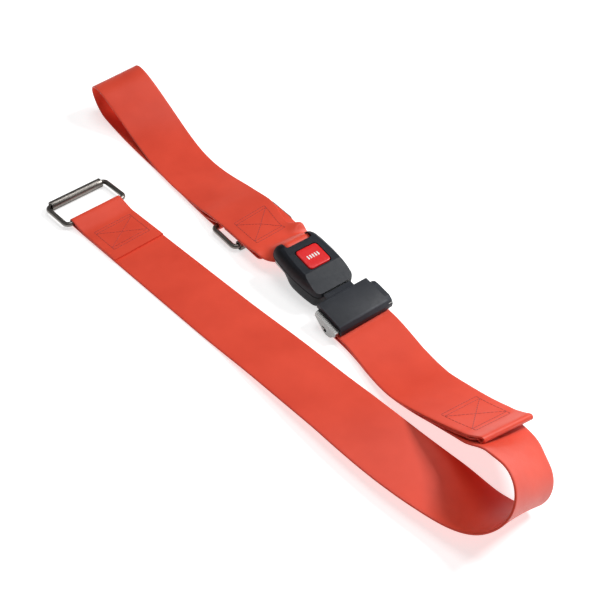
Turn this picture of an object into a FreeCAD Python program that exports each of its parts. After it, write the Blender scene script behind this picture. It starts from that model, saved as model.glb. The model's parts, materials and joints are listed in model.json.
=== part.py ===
import FreeCAD, Part
import math
import os

# Two-piece spine-board restraint strap, laid out on a flat surface.
# Millimetres. +Z up, the strap rests on z = 0. +X runs along the buckle from
# its webbing end towards the tongue, +Y to the left of that direction.
# The long strap, short strap, buckle, tongue and rings are all modelled in the
# lay-out that the product takes when it is put down.

V = FreeCAD.Vector

# ---------------------------------------------------------------- dimensions
WEB_W = 50.8            # 2 in webbing
WEB_T = 1.5             # coated webbing thickness
HW = WEB_W / 2.0
HT = WEB_T / 2.0

# buckle housing (local frame: u forward, v left, w up from its underside)
PITCH = 8.5             # nose-down lie of the buckle and tongue, degrees
BTN_Z = 29.0            # height of the button face above the floor
BK_H = 23.0             # housing height at the button
PART_W = 12.0           # height of the split between the two shells
SHELL = 2.0             # shell wall
OUTLINE = [(-28.5, 18.0), (-24.0, 21.0), (-14.0, 22.0), (2.0, 22.3), (16.0, 21.3), (31.0, 18.5)]
TOPLINE = [(-22.5, 12.0), (-19.0, 15.0), (-11.5, 16.6), (2.0, 17.4), (12.5, 17.6), (30.2, 15.4)]
CREASE_U = 12.5         # top face breaks downwards here
NOSE_DROP = 0.35        # slope of the front zone
BTN = 20.0              # square push button
BTN_TRAVEL = 2.5
MOUTH_HW = 12.6
MOUTH_LO, MOUTH_HI = 11.2, 14.4

# anchor and latch inside the buckle
ANCHOR_U, ANCHOR_W, ANCHOR_R = -20.5, 12.0, 2.5
EYE_TOP_U, EYE_TOP_W = -21.5, 16.2   # the webbing is drawn together and stands high here
NOTCH_HW = 13.0
SIDE_IN, SIDE_OUT = 16.7, 18.3

# tongue and adjuster
PL_LO, PL_HI = 11.6, 14.0          # steel plate thickness 2.4
BLADE_HW = 12.0
FL_IN, FL_OUT = 26.2, 28.6         # bracket cheeks
BAR_U, BAR_W, BAR_R = 52.0, 6.46, 3.0
BAR_END_R = 1.6
BAR_TRAVEL = 2.5
COVER_HW = 24.4

# loop rings (4 mm wire) and rollers
RING_L, RING_W, WIRE_R, CORNER_R = 61.0, 33.7, 2.0, 4.5
RING_Z = 4.45
ROLL_R, ROLL_IN, ROLL_LEN = 4.4, 3.2, 53.0
LOOP_IN = 2.3                       # webbing eye around the ring's fixed bar

# lower run of the long strap
LRUN_X0, LRUN_Y0, LRUN_HEAD = -269.52, -108.18, 6.18
BAR_A_S = 82.4                      # ring A's webbing bar along the run
FLAP_A_S = 147.5
STITCH_A = (105.0, 136.0, 18.5)

# ring B under the short strap
BAR_B_X, BAR_B_Y = -104.0, 0.5
FLAP_B_X = -146.0

# everything is finally shifted so that the origin is the centre of the base
SHIFT_X, SHIFT_Y = 46.104, 50.601

# ------------------------------------------------- strap centreline stations
# each line: centre x, y, z and the unit vector across the strap
LONG_STATIONS = [
    (-16.74, -80.80, 0.75, -0.1076, 0.9942, 0.0000),
    (-7.72, -79.79, 0.80, -0.1070, 0.9943, 0.0002),
    (1.31, -78.77, 0.94, -0.1055, 0.9944, 0.0001),
    (10.33, -77.78, 1.20, -0.1030, 0.9947, -0.0007),
    (19.35, -76.82, 1.61, -0.0994, 0.9950, -0.0020),
    (28.37, -75.92, 2.17, -0.0951, 0.9955, -0.0039),
    (37.40, -75.09, 2.83, -0.0902, 0.9959, -0.0065),
    (46.43, -74.32, 3.53, -0.0856, 0.9963, -0.0095),
    (55.47, -73.59, 4.15, -0.0819, 0.9966, -0.0124),
    (64.51, -72.85, 4.62, -0.0797, 0.9967, -0.0154),
    (73.55, -72.13, 5.08, -0.0781, 0.9968, -0.0195),
    (82.59, -71.41, 5.56, -0.0772, 0.9967, -0.0238),
    (91.63, -70.70, 6.07, -0.0772, 0.9966, -0.0281),
    (100.66, -69.98, 6.62, -0.0784, 0.9965, -0.0306),
    (109.69, -69.24, 7.20, -0.0807, 0.9963, -0.0292),
    (118.72, -68.48, 7.77, -0.0842, 0.9961, -0.0243),
    (127.75, -67.88, 8.30, -0.0887, 0.9959, -0.0163),
    (136.79, -67.25, 8.73, -0.0940, 0.9955, -0.0070),
    (145.82, -66.47, 9.04, -0.1008, 0.9949, -0.0019),
    (154.85, -65.61, 9.22, -0.1095, 0.9940, -0.0012),
    (163.87, -64.57, 9.30, -0.1214, 0.9926, -0.0060),
    (172.87, -63.40, 9.31, -0.1364, 0.9905, -0.0162),
    (181.86, -61.98, 9.27, -0.1537, 0.9877, -0.0300),
    (190.82, -60.40, 9.14, -0.1731, 0.9838, -0.0476),
    (199.74, -58.55, 8.90, -0.1930, 0.9786, -0.0716),
    (208.63, -56.53, 8.53, -0.2132, 0.9715, -0.1035),
    (217.48, -54.53, 8.17, -0.2336, 0.9597, -0.1563),
    (226.28, -52.29, 8.16, -0.2502, 0.9396, -0.2336),
    (234.91, -49.64, 9.18, -0.2563, 0.9075, -0.3327),
    (242.94, -46.23, 12.06, -0.2309, 0.8628, -0.4497),
    (249.33, -41.76, 16.07, -0.1603, 0.7997, -0.5785),
    (252.58, -36.21, 22.38, -0.0611, 0.7591, -0.6481),
    (251.45, -30.28, 29.07, 0.0484, 0.7449, -0.6654),
    (246.30, -25.02, 34.08, 0.1389, 0.7563, -0.6393),
    (238.53, -21.21, 36.44, 0.2026, 0.7869, -0.5829),
    (229.79, -18.85, 36.21, 0.2398, 0.8312, -0.5017),
    (221.09, -15.00, 33.02, 0.2479, 0.8778, -0.4100),
    (212.80, -12.71, 29.02, 0.2325, 0.9219, -0.3100),
    (204.88, -11.12, 24.92, 0.2023, 0.9495, -0.2400),
    (197.15, -9.95, 21.99, 0.1743, 0.9620, -0.2100),
    (189.39, -9.08, 19.12, 0.1541, 0.9696, -0.1900),
    (181.44, -8.51, 16.31, 0.1411, 0.9753, -0.1700),
    (173.22, -8.21, 13.75, 0.1342, 0.9795, -0.1500),
    (164.73, -8.02, 10.99, 0.1302, 0.9833, -0.1270),
    (156.02, -7.66, 8.25, 0.1280, 0.9867, -0.1000),
    (147.17, -7.26, 5.70, 0.1258, 0.9888, -0.0800),
    (138.22, -6.85, 3.60, 0.1234, 0.9908, -0.0550),
    (129.22, -6.18, 2.05, 0.1203, 0.9923, -0.0300),
    (120.21, -5.54, 1.16, 0.1161, 0.9932, -0.0100),
    (111.19, -4.62, 0.93, 0.1108, 0.9938, -0.0010),
    (102.16, -3.63, 0.92, 0.1018, 0.9948, 0.0000),
    (93.13, -2.38, 1.02, 0.0736, 0.9973, 0.0000),
    (84.09, -1.37, 1.08, 0.0382, 0.9993, 0.0000),
    (75.04, -0.72, 1.10, 0.0106, 0.9999, 0.0000),
    (65.98, -0.50, 1.10, 0.0000, 1.0000, 0.0000),
]
TAIL_STATIONS = [
    (65.89, -0.50, 4.48, 0.0000, 1.0000, 0.0000),
    (70.86, -0.60, 4.27, 0.0038, 1.0000, -0.0004),
    (75.84, -0.92, 4.09, 0.0153, 0.9999, -0.0022),
    (80.81, -1.44, 3.94, 0.0329, 0.9994, -0.0052),
    (85.78, -2.11, 3.84, 0.0539, 0.9985, -0.0086),
    (90.75, -2.89, 3.79, 0.0748, 0.9971, -0.0116),
    (95.72, -3.76, 3.79, 0.0915, 0.9957, -0.0150),
    (100.69, -4.67, 3.86, 0.1006, 0.9947, -0.0189),
    (105.66, -5.58, 4.00, 0.0995, 0.9948, -0.0228),
    (110.64, -6.46, 4.22, 0.0918, 0.9954, -0.0272),
    (115.61, -7.29, 4.53, 0.0835, 0.9960, -0.0333),
    (120.58, -8.01, 4.92, 0.0745, 0.9964, -0.0409),
    (125.54, -8.62, 5.42, 0.0649, 0.9966, -0.0503),
    (130.50, -9.07, 6.08, 0.0549, 0.9966, -0.0613),
    (135.45, -9.34, 6.98, 0.0459, 0.9962, -0.0738),
    (140.38, -9.48, 8.16, 0.0379, 0.9954, -0.0877),
    (145.30, -9.56, 9.54, 0.0311, 0.9942, -0.1029),
    (150.20, -9.59, 11.06, 0.0255, 0.9925, -0.1194),
    (155.07, -9.56, 12.65, 0.0210, 0.9905, -0.1359),
    (159.93, -9.49, 14.23, 0.0177, 0.9882, -0.1523),
    (164.77, -9.36, 15.76, 0.0155, 0.9856, -0.1686),
    (169.57, -9.19, 17.30, 0.0145, 0.9827, -0.1847),
    (174.36, -8.98, 18.85, 0.0140, 0.9798, -0.1993),
    (179.12, -8.73, 20.41, 0.0136, 0.9772, -0.2119),
    (183.85, -8.44, 22.07, 0.0135, 0.9748, -0.2225),
    (188.54, -8.11, 23.82, 0.0134, 0.9728, -0.2312),
    (193.21, -7.75, 25.63, 0.0140, 0.9707, -0.2397),
    (197.85, -7.36, 27.50, 0.0158, 0.9684, -0.2490),
    (202.45, -6.94, 29.43, 0.0187, 0.9657, -0.2591),
    (207.01, -6.49, 31.42, 0.0229, 0.9627, -0.2698),
]
SHORT_STATIONS = [
    (-39.42, 0.31, 12.57, 0.0033, -0.9994, -0.0350),
    (-46.91, 0.18, 12.92, 0.0018, -0.9978, -0.0666),
    (-54.14, -0.12, 13.75, 0.0002, -0.9971, -0.0757),
    (-61.57, -0.28, 14.26, -0.0011, -0.9959, -0.0906),
    (-69.20, -0.29, 14.39, -0.0010, -0.9940, -0.1098),
    (-76.83, -0.28, 14.34, 0.0007, -0.9927, -0.1205),
    (-84.46, -0.25, 14.09, 0.0037, -0.9925, -0.1225),
    (-92.08, -0.21, 13.61, 0.0073, -0.9930, -0.1182),
    (-99.68, -0.17, 12.93, 0.0113, -0.9939, -0.1093),
    (-107.27, -0.15, 12.07, 0.0152, -0.9953, -0.0959),
    (-114.90, -0.10, 11.00, 0.0184, -0.9962, -0.0846),
    (-122.77, 0.08, 9.52, 0.0203, -0.9959, -0.0885),
    (-130.64, 0.25, 8.00, 0.0212, -0.9954, -0.0930),
    (-138.27, 0.23, 6.85, 0.0203, -0.9963, -0.0836),
    (-145.84, 0.16, 5.87, 0.0172, -0.9973, -0.0709),
    (-153.42, 0.10, 5.01, 0.0118, -0.9982, -0.0588),
    (-161.02, 0.08, 4.29, 0.0045, -0.9989, -0.0476),
    (-168.64, 0.10, 3.72, -0.0046, -0.9993, -0.0377),
    (-176.26, 0.19, 3.30, -0.0155, -0.9995, -0.0290),
    (-183.88, 0.36, 3.03, -0.0277, -0.9994, -0.0228),
    (-191.51, 0.63, 2.91, -0.0408, -0.9990, -0.0205),
    (-199.14, 0.99, 2.94, -0.0550, -0.9982, -0.0222),
    (-206.76, 1.46, 3.13, -0.0689, -0.9972, -0.0277),
    (-214.36, 2.02, 3.48, -0.0813, -0.9960, -0.0369),
    (-221.95, 2.66, 4.03, -0.0924, -0.9945, -0.0498),
    (-229.51, 3.35, 4.80, -0.1009, -0.9927, -0.0660),
    (-237.04, 4.06, 5.80, -0.1058, -0.9907, -0.0852),
    (-244.54, 4.75, 7.08, -0.1073, -0.9884, -0.1076),
    (-251.98, 5.36, 8.65, -0.1061, -0.9856, -0.1320),
    (-259.35, 5.86, 10.60, -0.1030, -0.9822, -0.1571),
    (-266.60, 6.19, 12.96, -0.0982, -0.9781, -0.1834),
    (-273.68, 6.31, 15.80, -0.0928, -0.9737, -0.2081),
    (-280.58, 6.21, 19.07, -0.0871, -0.9696, -0.2286),
    (-287.26, 5.89, 22.74, -0.0804, -0.9661, -0.2452),
    (-293.76, 5.38, 26.71, -0.0724, -0.9640, -0.2558),
    (-300.22, 4.75, 30.73, -0.0623, -0.9640, -0.2584),
    (-306.83, 4.14, 34.50, -0.0504, -0.9663, -0.2524),
    (-313.77, 3.65, 37.64, -0.0372, -0.9705, -0.2381),
    (-321.14, 3.43, 39.58, -0.0252, -0.9762, -0.2154),
    (-328.75, 3.59, 39.61, -0.0196, -0.9828, -0.1837),
    (-335.93, 4.14, 37.18, -0.0240, -0.9884, -0.1501),
    (-341.64, 4.98, 32.25, -0.0359, -0.9919, -0.1215),
    (-344.77, 5.87, 25.39, -0.0539, -0.9936, -0.0994),
    (-344.56, 6.56, 17.84, -0.0707, -0.9938, -0.0861),
    (-341.31, 6.87, 10.99, -0.0782, -0.9940, -0.0762),
    (-335.81, 6.80, 5.73, -0.0781, -0.9951, -0.0607),
    (-328.99, 6.45, 2.38, -0.0769, -0.9962, -0.0411),
    (-321.57, 5.94, 1.02, -0.0761, -0.9970, -0.0108),
    (-313.98, 5.38, 0.75, -0.0735, -0.9973, 0.0000),
    (-306.37, 4.83, 0.75, -0.0691, -0.9976, 0.0000),
    (-298.76, 4.33, 0.76, -0.0630, -0.9980, 0.0002),
    (-291.15, 3.88, 0.80, -0.0549, -0.9985, 0.0019),
    (-283.52, 3.50, 0.76, -0.0461, -0.9989, 0.0003),
    (-275.90, 3.18, 0.75, -0.0379, -0.9993, 0.0000),
    (-268.27, 2.92, 0.75, -0.0304, -0.9995, 0.0000),
    (-260.64, 2.72, 0.75, -0.0239, -0.9997, 0.0000),
    (-253.01, 2.55, 0.75, -0.0189, -0.9998, 0.0000),
    (-245.38, 2.42, 0.75, -0.0155, -0.9999, 0.0000),
    (-237.75, 2.31, 0.75, -0.0132, -0.9999, 0.0000),
    (-230.11, 2.22, 0.75, -0.0120, -0.9999, 0.0000),
    (-222.48, 2.13, 0.75, -0.0118, -0.9999, 0.0000),
    (-214.85, 2.04, 0.75, -0.0121, -0.9999, 0.0000),
    (-207.22, 1.94, 0.75, -0.0126, -0.9999, 0.0000),
    (-199.58, 1.84, 0.75, -0.0133, -0.9999, 0.0000),
    (-191.95, 1.74, 0.75, -0.0139, -0.9999, 0.0000),
    (-184.32, 1.63, 0.75, -0.0144, -0.9999, 0.0000),
    (-176.68, 1.52, 0.75, -0.0148, -0.9999, 0.0000),
    (-169.05, 1.41, 0.75, -0.0151, -0.9999, 0.0000),
    (-161.42, 1.25, 0.75, -0.0144, -0.9999, 0.0000),
    (-153.78, 1.02, 0.75, -0.0117, -0.9999, 0.0000),
    (-146.15, 0.81, 0.75, -0.0081, -1.0000, 0.0000),
    (-138.52, 0.64, 0.75, -0.0044, -1.0000, 0.0000),
    (-130.89, 0.54, 0.75, -0.0014, -1.0000, 0.0000),
    (-123.25, 0.51, 0.75, -0.0000, -1.0000, 0.0000),
    (-115.62, 0.51, 0.75, 0.0000, -1.0000, 0.0000),
    (-107.99, 0.51, 0.75, 0.0000, -1.0000, 0.0000),
]


# ------------------------------------------------------------------- helpers
def box(x0, x1, y0, y1, z0, z1):
    return Part.makeBox(x1 - x0, y1 - y0, z1 - z0, V(x0, y0, z0))


def cyl(r, p, q):
    p, q = V(*p), V(*q)
    d = q - p
    return Part.makeCylinder(r, d.Length, p, d)


def wire3(pts):
    pts = [V(*p) for p in pts]
    return Part.makePolygon(pts + [pts[0]])


def prism_z(pts, z0, z1):
    return Part.Face(wire3([(x, y, z0) for x, y in pts])).extrude(V(0, 0, z1 - z0))


def prism_y(pts, y0, y1):
    """profile in x,z extruded across y"""
    return Part.Face(wire3([(x, y0, z) for x, z in pts])).extrude(V(0, y1 - y0, 0))


def mirror_pts(half):
    return [(x, -y) for x, y in half] + [(x, y) for x, y in reversed(half)]


def inset(half, d, rear=0.0, front=0.0):
    out = [(x, y - d) for x, y in half]
    out[0] = (out[0][0] + rear, out[0][1])
    out[-1] = (out[-1][0] - front, out[-1][1])
    return out


def hull2(pts):
    pts = sorted(set((round(a, 6), round(b, 6)) for a, b in pts))

    def half(ps):
        h = []
        for p in ps:
            while len(h) > 1 and (h[-1][0] - h[-2][0]) * (p[1] - h[-2][1]) - (h[-1][1] - h[-2][1]) * (p[0] - h[-2][0]) <= 1e-9:
                h.pop()
            h.append(p)
        return h
    a, b = half(pts), half(pts[::-1])
    return a[:-1] + b[:-1]


def circle_pts(cx, cz, r, n=48):
    return [(cx + r * math.cos(2 * math.pi * i / n), cz + r * math.sin(2 * math.pi * i / n)) for i in range(n)]


def try_fillet(shape, r, pick):
    edges = [e for e in shape.Edges if pick(e)]
    if not edges:
        return shape
    try:
        out = shape.makeFillet(r, edges)
        if out.isValid() and out.Volume > 0.5 * shape.Volume:
            return out
    except Exception:
        pass
    return shape


def single(shape):
    s = shape.Solids
    return s[0] if len(s) == 1 else Part.makeCompound(s)


def tri_solid(verts, tris):
    faces = []
    for a, b, c in tris:
        p, q, r = verts[a], verts[b], verts[c]
        if (q - p).cross(r - p).Length < 1e-7:
            continue
        faces.append(Part.Face(Part.makePolygon([p, q, r, p])))
    shell = Part.Shell(faces)
    solid = Part.Solid(shell)
    if solid.Volume < 0:
        solid.reverse()
    return solid


def norm(v):
    return v * (1.0 / v.Length)


def frames(stations):
    """centre, tangent, across, normal at each station"""
    C = [V(*s[:3]) for s in stations]
    L = [norm(V(*s[3:])) for s in stations]
    out = []
    for i in range(len(C)):
        a, b = C[max(i - 1, 0)], C[min(i + 1, len(C) - 1)]
        T = norm(b - a)
        N = norm(T.cross(L[i]))
        T = norm(L[i].cross(N))
        out.append((C[i], T, L[i], N))
    return out


def arc_lengths(fr):
    s = [0.0]
    for i in range(1, len(fr)):
        s.append(s[-1] + (fr[i][0] - fr[i - 1][0]).Length)
    return s


def at(fr, S, s):
    """interpolated frame at arc length s"""
    s = min(max(s, 0.0), S[-1])
    i = 0
    while i < len(S) - 2 and S[i + 1] < s:
        i += 1
    t = (s - S[i]) / (S[i + 1] - S[i])
    f, g = fr[i], fr[i + 1]
    C = f[0] * (1 - t) + g[0] * t
    L = norm(f[2] * (1 - t) + g[2] * t)
    N = norm(f[3] * (1 - t) + g[3] * t)
    T = norm(L.cross(N))
    N = norm(T.cross(L))
    return (C, T, L, N)


def ribbon(fr, n0, n1, l0=-HW, l1=HW):
    """closed strip between normal offsets n0..n1 and across offsets l0..l1"""
    verts, tris = [], []
    for C, T, L, N in fr:
        for l, n in ((l0, n0), (l1, n0), (l1, n1), (l0, n1)):
            verts.append(C + L * l + N * n)
    k = len(fr)
    for i in range(k - 1):
        a, b = 4 * i, 4 * (i + 1)
        for j in range(4):
            p, q = a + j, a + (j + 1) % 4
            r, s = b + (j + 1) % 4, b + j
            tris += [(p, q, r), (p, r, s)] if j < 2 else [(p, q, s), (q, r, s)]
    tris += [(0, 2, 1), (0, 3, 2)]
    e = 4 * (k - 1)
    tris += [(e, e + 1, e + 2), (e, e + 2, e + 3)]
    return tri_solid(verts, tris)


def stitch_box(fr, S, s0, s1, hl, n0, lift=0.4, w=0.8, shift=0.0):
    """one closed rectangle of thread lying on the strap"""
    ss = [s0, s0 + w] + [s for s in S if s0 + w + 0.3 < s < s1 - w - 0.3] + [s1 - w, s1]
    lane = [(s, -hl) for s in ss] + [(s, hl) for s in reversed(ss)]
    inner = []
    for s, l in lane:
        si = min(max(s, s0 + w), s1 - w)
        inner.append((si, l + w if l < 0 else l - w))
    verts = []
    for ring, n in ((lane, n0), (inner, n0), (inner, n0 + lift), (lane, n0 + lift)):
        for s, l in ring:
            C, T, L, N = at(fr, S, s)
            verts.append(C + L * (l + shift) + N * n)
    m = len(lane)
    tris = []
    for i in range(m):
        j = (i + 1) % m
        for a in range(4):
            b = (a + 1) % 4
            p, q, r, s = a * m + i, a * m + j, b * m + j, b * m + i
            tris += [(p, q, r), (p, r, s)]
    return tri_solid(verts, tris)


def straight_frames(x0, y0, head, s0, s1, z, step=24.0):
    h = math.radians(head)
    T, L = V(math.cos(h), math.sin(h), 0), V(-math.sin(h), math.cos(h), 0)
    n = max(1, int((s1 - s0) / step))
    return [(V(x0, y0, z) + T * (s0 + (s1 - s0) * i / n), T, L, V(0, 0, 1)) for i in range(n + 1)]


def eye(bar_s, bar_z, r_in, s_end, lo, hi, sgn=1.0, apex=9.0, half=HW):
    """webbing eye in the s,z plane: wraps a bar and closes to a flat double layer"""
    ro = r_in + WEB_T
    outer = hull2(circle_pts(bar_s, bar_z, ro) + [(s_end, lo), (s_end, hi)])
    mid = 0.5 * (lo + hi)
    ax = bar_s + sgn * (r_in + apex)
    f = (ax - bar_s) / (s_end - bar_s)
    az = bar_z + (mid - bar_z) * f
    inner = hull2(circle_pts(bar_s, bar_z, r_in) + [(ax, az)])
    return prism_y(outer, -half, half).cut(prism_y(inner, -half - 1, half + 1))


def place_run(shape):
    shape = shape.copy()
    shape.rotate(V(0, 0, 0), V(0, 0, 1), LRUN_HEAD)
    shape.translate(V(LRUN_X0, LRUN_Y0, 0))
    return shape


P_RAD = math.radians(PITCH)
TX = -BK_H * math.sin(P_RAD)
TZ = BTN_Z - BK_H * math.cos(P_RAD)


def place_buckle(shape):
    shape = shape.copy()
    shape.rotate(V(0, 0, 0), V(0, 1, 0), PITCH)
    shape.translate(V(TX, 0, TZ))
    return shape


def bk(u, w):
    """buckle frame to floor frame, in the x,z plane"""
    return (u * math.cos(P_RAD) + w * math.sin(P_RAD) + TX,
            -u * math.sin(P_RAD) + w * math.cos(P_RAD) + TZ)


parts = {}

# ------------------------------------------------------------ buckle housing
out_w = mirror_pts(OUTLINE)
low_w = mirror_pts(inset(OUTLINE, 1.8, 1.6, 1.0))
top_w = mirror_pts(TOPLINE)
mid_w = mirror_pts([(a[0] * 0.75 + b[0] * 0.25, a[1] * 0.78 + b[1] * 0.22) for a, b in zip(OUTLINE, TOPLINE)])


def loft(levels):
    return Part.makeLoft([wire3([(x, y, z) for x, y in pts]) for pts, z in levels], True, True)


upper = loft([(out_w, PART_W), (mid_w, 18.5), (top_w, BK_H)])
slope = [(CREASE_U, BK_H), (CREASE_U, 40), (60, 40), (60, BK_H - NOSE_DROP * (60 - CREASE_U))]
upper = upper.cut(prism_y(slope, -40, 40))
upper = try_fillet(upper, 1.4, lambda e: e.BoundBox.ZMin > 15.0 and e.Length > 2.0)
cav_up = prism_z(mirror_pts(inset(OUTLINE, SHELL + 3.2, SHELL + 4.0, SHELL)), PART_W - 1, BK_H - 2.4)
cav_lo2 = prism_z(mirror_pts(inset(OUTLINE, SHELL + 0.4, SHELL + 1.0, SHELL)), PART_W - 1, 16.5)
slope_in = [(CREASE_U - 1.0, BK_H - 2.4), (CREASE_U - 1.0, 40), (60, 40), (60, BK_H - 2.8 - NOSE_DROP * (60 - CREASE_U))]
cav = cav_up.fuse(cav_lo2).cut(prism_y(slope_in, -40, 40))
upper = upper.cut(cav)
hole = box(-BTN / 2 - 0.25, BTN / 2 + 0.25, -BTN / 2 - 0.25, BTN / 2 + 0.25, 16, 30)
hole = try_fillet(hole, 2.6, lambda e: abs(e.Vertexes[0].Z - e.Vertexes[-1].Z) > 5)
upper = upper.cut(hole)
upper = upper.cut(box(-45, -16, -SIDE_OUT - 0.2 + 1.0, SIDE_OUT + 0.2 - 1.0, PART_W - 1, 13.8))
upper = upper.cut(box(24, 45, -MOUTH_HW, MOUTH_HW, PART_W - 1, MOUTH_HI))
# the webbing comes in over the top between the two rear ears
notch = box(-45, -17.6, -NOTCH_HW, NOTCH_HW, PART_W - 1, 40)
upper = upper.cut(try_fillet(notch, 2.0, lambda e: abs(e.Vertexes[0].Z - e.Vertexes[-1].Z) > 5))
parts["housing_top"] = place_buckle(single(upper))

lower = loft([(low_w, 0.0), (out_w, 2.2), (out_w, PART_W)])
lower = lower.cut(prism_z(mirror_pts(inset(OUTLINE, SHELL + 0.2, SHELL + 1.0, SHELL)), 2.2, PART_W + 1))
lower = lower.cut(box(-45, -16, -SIDE_OUT + 0.8, SIDE_OUT - 0.8, 2.6, PART_W + 1))
lower = lower.cut(box(-45, -21.8, -SIDE_OUT + 0.8, SIDE_OUT - 0.8, -1, PART_W + 1))
lower = lower.cut(box(24, 45, -MOUTH_HW, MOUTH_HW, MOUTH_LO, PART_W + 1))
parts["housing_bottom"] = place_buckle(single(lower))

# --------------------------------------------------------------- push button
cap = box(-BTN / 2, BTN / 2, -BTN / 2, BTN / 2, 18.6, BK_H + 0.5)
cap = try_fillet(cap, 2.35, lambda e: abs(e.Vertexes[0].Z - e.Vertexes[-1].Z) > 2)
cap = try_fillet(cap, 0.7, lambda e: e.BoundBox.ZMin > BK_H + 0.4)
flange = box(-11.2, 11.2, -11.2, 11.2, 18.6, 20.3)
stem = box(-3.0, 3.0, -4.0, 4.0, 11.1, 18.7)
parts["push_button"] = place_buckle(single(cap.fuse(flange).fuse(stem).removeSplitter()))

# ------------------------------------------------------- anchor frame + bar
base = box(-14, 14, -SIDE_OUT, SIDE_OUT, 2.6, 4.6).fuse(box(13, 25, -13.5, 13.5, 2.6, 4.6))
for sg in (-1, 1):
    y0, y1 = sorted((sg * SIDE_IN, sg * SIDE_OUT))
    base = base.fuse(box(-24.0, 14, y0, y1, 2.6, 11.2)).fuse(box(-24.0, -17.0, y0, y1, 11.0, 15.2))
    y0, y1 = sorted((sg * 7.0, sg * 11.0))
    base = base.fuse(box(-14, -12.4, y0, y1, 4.5, 14.6))
base = base.removeSplitter()
base = base.cut(cyl(BAR_END_R, (ANCHOR_U, -30, ANCHOR_W), (ANCHOR_U, 30, ANCHOR_W)))
for v in (-3.5, 3.5):
    base = base.cut(cyl(1.2, (-10, v, 0), (-10, v, 8)))
parts["anchor_frame"] = place_buckle(single(base))
bar = cyl(ANCHOR_R, (ANCHOR_U, -SIDE_IN, ANCHOR_W), (ANCHOR_U, SIDE_IN, ANCHOR_W))
bar = bar.fuse(cyl(BAR_END_R, (ANCHOR_U, -SIDE_OUT, ANCHOR_W), (ANCHOR_U, SIDE_OUT, ANCHOR_W))).removeSplitter()
parts["anchor_bar"] = place_buckle(single(bar))

# -------------------------------------------------- latch leaf and its rivets
leaf_pts = [(-13.0, 4.6), (-7.0, 4.6), (-1.0, 8.6), (3.6, 9.9), (18.4, 9.9), (21.6, 10.3), (18.7, 13.6),
            (17.6, 13.6), (17.4, 10.9), (3.3, 10.9), (-1.4, 9.6), (-7.3, 5.6), (-13.0, 5.6)]
leaf = prism_y(leaf_pts, -6.0, 6.0)
for v in (-3.5, 3.5):
    leaf = leaf.cut(cyl(1.2, (-10, v, 0), (-10, v, 8)))
parts["latch_leaf"] = place_buckle(single(leaf))
rv = []
for v in (-3.5, 3.5):
    r = cyl(1.2, (-10, v, 2.6), (-10, v, 5.6)).fuse(cyl(2.0, (-10, v, 5.6), (-10, v, 6.4))).removeSplitter()
    rv.append(single(r))
parts["leaf_rivets"] = place_buckle(Part.makeCompound(rv))

# ------------------------------------------------------- ejector and springs
ej = box(5, 8, -12, 12, 11.8, 13.9)
for sg in (-1, 1):
    y0, y1 = sorted((sg * 8.0, sg * 12.0))
    ej = ej.fuse(box(8, 11.9, y0, y1, 11.8, 13.9))
parts["ejector"] = place_buckle(single(ej.removeSplitter()))
springs = []
for v in (-9.0, 9.0):
    helix = Part.makeHelix(1.9, 15.2, 1.25)
    prof = Part.Wire([Part.Circle(V(1.25, 0, 0), V(0, 1, 0), 0.25).toShape()])
    coil = Part.Wire(helix.Edges).makePipeShell([prof], True, True)
    coil.rotate(V(0, 0, 0), V(0, 1, 0), 90)
    coil.translate(V(-11.4, v, 12.85))
    springs.append(single(coil))
parts["ejector_springs"] = place_buckle(Part.makeCompound(springs))

# ------------------------------------------------------ tongue plate, adjuster
blade = prism_z([(12.1, -9.5), (14.5, -BLADE_HW), (37.0, -BLADE_HW), (41.0, -FL_OUT), (66.0, -FL_OUT),
                 (66.0, FL_OUT), (41.0, FL_OUT), (37.0, BLADE_HW), (14.5, BLADE_HW), (12.1, 9.5)], PL_LO, PL_HI)
blade = blade.cut(box(16.6, 22.6, -7, 7, 5, 20))
for sg in (-1, 1):
    y0, y1 = sorted((sg * FL_IN, sg * FL_OUT))
    cheek = Part.makeCylinder(7.6, y1 - y0, V(56.2, y0, 10.3), V(0, 1, 0))
    cheek = cheek.fuse(prism_y([(41, PL_HI), (41, 10.6), (48.6, 6.0), (56.2, 4.0), (63.0, 7.0), (66, 10.0), (66, PL_HI)], y0, y1))
    cheek = cheek.common(box(38, 67, y0, y1, 0, PL_HI))
    cheek = cheek.removeSplitter()
    slot = box(BAR_U, BAR_U + BAR_TRAVEL, -30, 30, BAR_W - BAR_END_R - 0.1, BAR_W + BAR_END_R + 0.1)
    slot = slot.fuse(cyl(BAR_END_R + 0.1, (BAR_U, -30, BAR_W), (BAR_U, 30, BAR_W)))
    slot = slot.fuse(cyl(BAR_END_R + 0.1, (BAR_U + BAR_TRAVEL, -30, BAR_W), (BAR_U + BAR_TRAVEL, 30, BAR_W)))
    blade = blade.fuse(cheek.cut(slot))
lip = prism_y([(63.6, PL_LO + 0.1), (63.6, 10.9), (64.2, 10.2), (65.5, 10.2), (66.0, 10.8), (66.0, PL_LO + 0.1)], -FL_IN, FL_IN)
blade = blade.fuse(lip).removeSplitter()
parts["tongue_plate"] = place_buckle(single(blade))

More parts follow.
